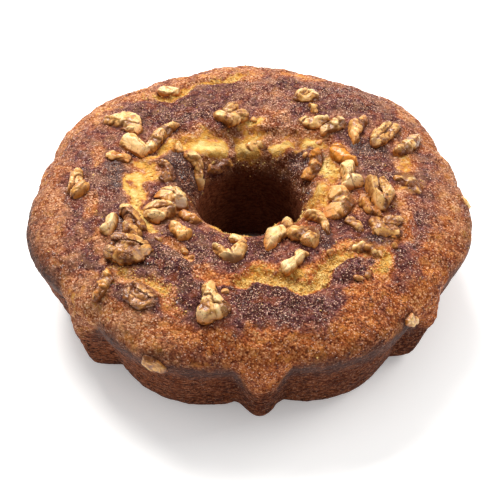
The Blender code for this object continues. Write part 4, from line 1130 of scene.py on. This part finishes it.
def scatter(name, spots, sizes, rise, material, rng):
    """One joined mesh of small uneven gems at spots of a surface."""
    points, normals = (np.concatenate(parts) for parts in zip(*spots))
    count = len(points)
    size = np.exp(rng.uniform(np.log(sizes[0]), np.log(sizes[1]), (count, 1)))
    centre = points + normals * size * rise / 2
    gem = GEM[None] * rng.uniform(0.6, 1.3, (count, 6, 1)) * size[:, None] / 2
    gem = gem + rng.normal(0, 0.10, (count, 6, 3)) * size[:, None]
    turned = np.einsum("nij,nkj->nki", random_turns(count, rng), gem)
    verts = (turned + centre[:, None]).reshape(-1, 3)
    faces = (GEM_FACES[None] + 6 * np.arange(count)[:, None, None]).reshape(-1, 3)
    made = mesh_object(name, verts, faces, material)
    made.data.shade_flat()
    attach(made, "root")
    return made


def make_bits(material, rng):
    """The small walnut bits, one joined mesh."""
    points = bmesh.new()
    for x, y, heading, length in BITS:
        size = Matrix.Diagonal((length / 2, 0.37 * length, 0.36 * length, 1.0))
        frame = dome_frame(x, y, heading)
        frame.translation /= MM
        bmesh.ops.create_icosphere(points, subdivisions=3, radius=1.0, matrix=frame @ size)
    verts = np.array([vertex.co for vertex in points.verts])
    outward = np.array([vertex.normal for vertex in points.verts])
    faces = np.array([[vertex.index for vertex in face.verts] for face in points.faces])
    points.free()
    verts = verts + outward * (1.1 * noise_field(verts, 2.8, 5.0) - 0.3)[:, None]
    tone = 0.45 + 0.5 * noise_field(verts, 9.0, 8.0)
    dust = smooth_step(-0.2, 0.3, noise_field(verts, 3.0, 12.0))
    bits = mesh_object("walnut_bits", verts, faces, material,
                       {"nut": (tone, 0.5 + 0 * tone, 0 * tone), "coat": (dust, dust, dust)})
    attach(bits, "root")
    return bits


FLOOR_GLOW = 0.52


def make_floor():
    """Pale floor that glows a little away from the cake, as painted light that lifts the cake's shadow
    there.
    """
    shader = Shader("studio floor")
    shader.surface.inputs["Base Color"].default_value = (0.90, 0.90, 0.90, 1.0)
    shader.surface.inputs["Roughness"].default_value = 0.9
    shader.surface.inputs["Emission Color"].default_value = (1.0, 1.0, 1.0, 1.0)
    away = shader.node("ShaderNodeVectorMath", {0: shader.place}, "Value", operation="LENGTH")
    shader.put(shader.surface.inputs["Emission Strength"],
               shader.math("MULTIPLY", shader.between(away, 45.0, 150.0), FLOOR_GLOW))
    bpy.ops.mesh.primitive_plane_add(size=6.0, location=(0, 0, 0))
    floor = bpy.context.object
    floor.name = "floor"
    floor.data.materials.append(shader.material)


def make_light(name, place, size, power, colour=(1, 1, 1)):
    """Square area light that looks at the cake."""
    light = bpy.data.lights.new(name, "AREA")
    light.size = size
    light.energy = power
    light.color = colour
    lamp = bpy.data.objects.new(name, light)
    lamp.location = place
    lamp.rotation_euler = (Vector((0, 0, 0.04)) - Vector(place)).to_track_quat("-Z", "Y").to_euler()
    bpy.context.scene.collection.objects.link(lamp)


def make_camera():
    """Camera fitted to the photograph's view."""
    elevation, distance = math.radians(44.08), 0.74664
    camera = bpy.data.cameras.new("camera")
    camera.sensor_width = 36.0
    camera.lens = 90.85
    camera.shift_x = 0.0008
    camera.shift_y = 0.0456
    camera.clip_start = 0.01
    holder = bpy.data.objects.new("camera", camera)
    aim = Vector((-MIDDLE[0] * MM, -MIDDLE[1] * MM, 0.0))
    offset = Vector((0.0, -math.cos(elevation), math.sin(elevation))) * distance
    look = (-offset).to_track_quat("-Z", "Y").to_matrix().to_4x4()
    roll = Matrix.Rotation(math.radians(0.5), 4, "Z")
    holder.matrix_world = Matrix.Translation(aim + offset) @ look @ roll
    bpy.context.scene.collection.objects.link(holder)
    bpy.context.scene.camera = holder


def main():
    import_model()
    rng = np.random.default_rng(SEED)
    scene = bpy.context.scene
    scene.view_settings.view_transform = "Standard"
    scene.world = bpy.data.worlds.new("studio")
    scene.world.use_nodes = True
    background = scene.world.node_tree.nodes["Background"]
    background.inputs["Color"].default_value = (1.0, 1.0, 1.0, 1.0)
    background.inputs["Strength"].default_value = 0.26

    walnut = walnut_material()
    nut_points, nut_normals, nut_dust = make_walnuts(walnut)
    grids = make_cake(crust_material(), nut_points)
    make_bits(walnut, rng)
    top = (1 - grids["wall"]) * (1 - grids["hole"]) * (grids["normals"][..., 2] > -0.2)
    brown = smooth_step(0.35, 0.9, grids["bake"])
    clear = top * smooth_step(0.4, 1.5, grids["near"])
    red_sugar = grain_material("cinnamon grains", linear(84, 40, 24), linear(168, 100, 62), 0.6, 1.5)
    pale_sugar = grain_material("sugar crystals", linear(214, 156, 128), linear(250, 214, 188), 0.25,
                                1.0)
    crumb_grain = grain_material("yellow crumbs", linear(206, 150, 66), linear(240, 208, 132), 0.7,
                                 2.0)
    nut_weights = nut_dust * (nut_normals[:, 2] > 0.2) + 0.02
    scatter("cinnamon_grains", [
        cake_spots(grids, clear * (0.03 + brown), 14000, rng),
        nut_spots(nut_points, nut_normals, nut_weights, 1500, rng),
    ], (0.35, 0.75), 0.0, red_sugar, rng)
    scatter("sugar_crystals", [
        cake_spots(grids, clear * (0.03 + brown ** 3 + 1.5 * brown * grids["sugar"]), 6500, rng),
        nut_spots(nut_points, nut_normals, nut_weights, 1500, rng),
    ], (0.30, 0.66), 0.4, pale_sugar, rng)
    scatter("yellow_crumbs", [
        cake_spots(grids, top * (grids["torn"] ** 2 + 0.002), 2000, rng),
    ], (0.5, 1.4), 0.3, crumb_grain, rng)

    make_floor()
    make_light("key", (-0.38, 0.77, 1.15), 0.8, 32.0, (1.0, 0.97, 0.93))
    make_light("side", (1.0, 0.25, 0.85), 0.7, 7.0, (1.0, 0.97, 0.93))
    make_camera()


main()
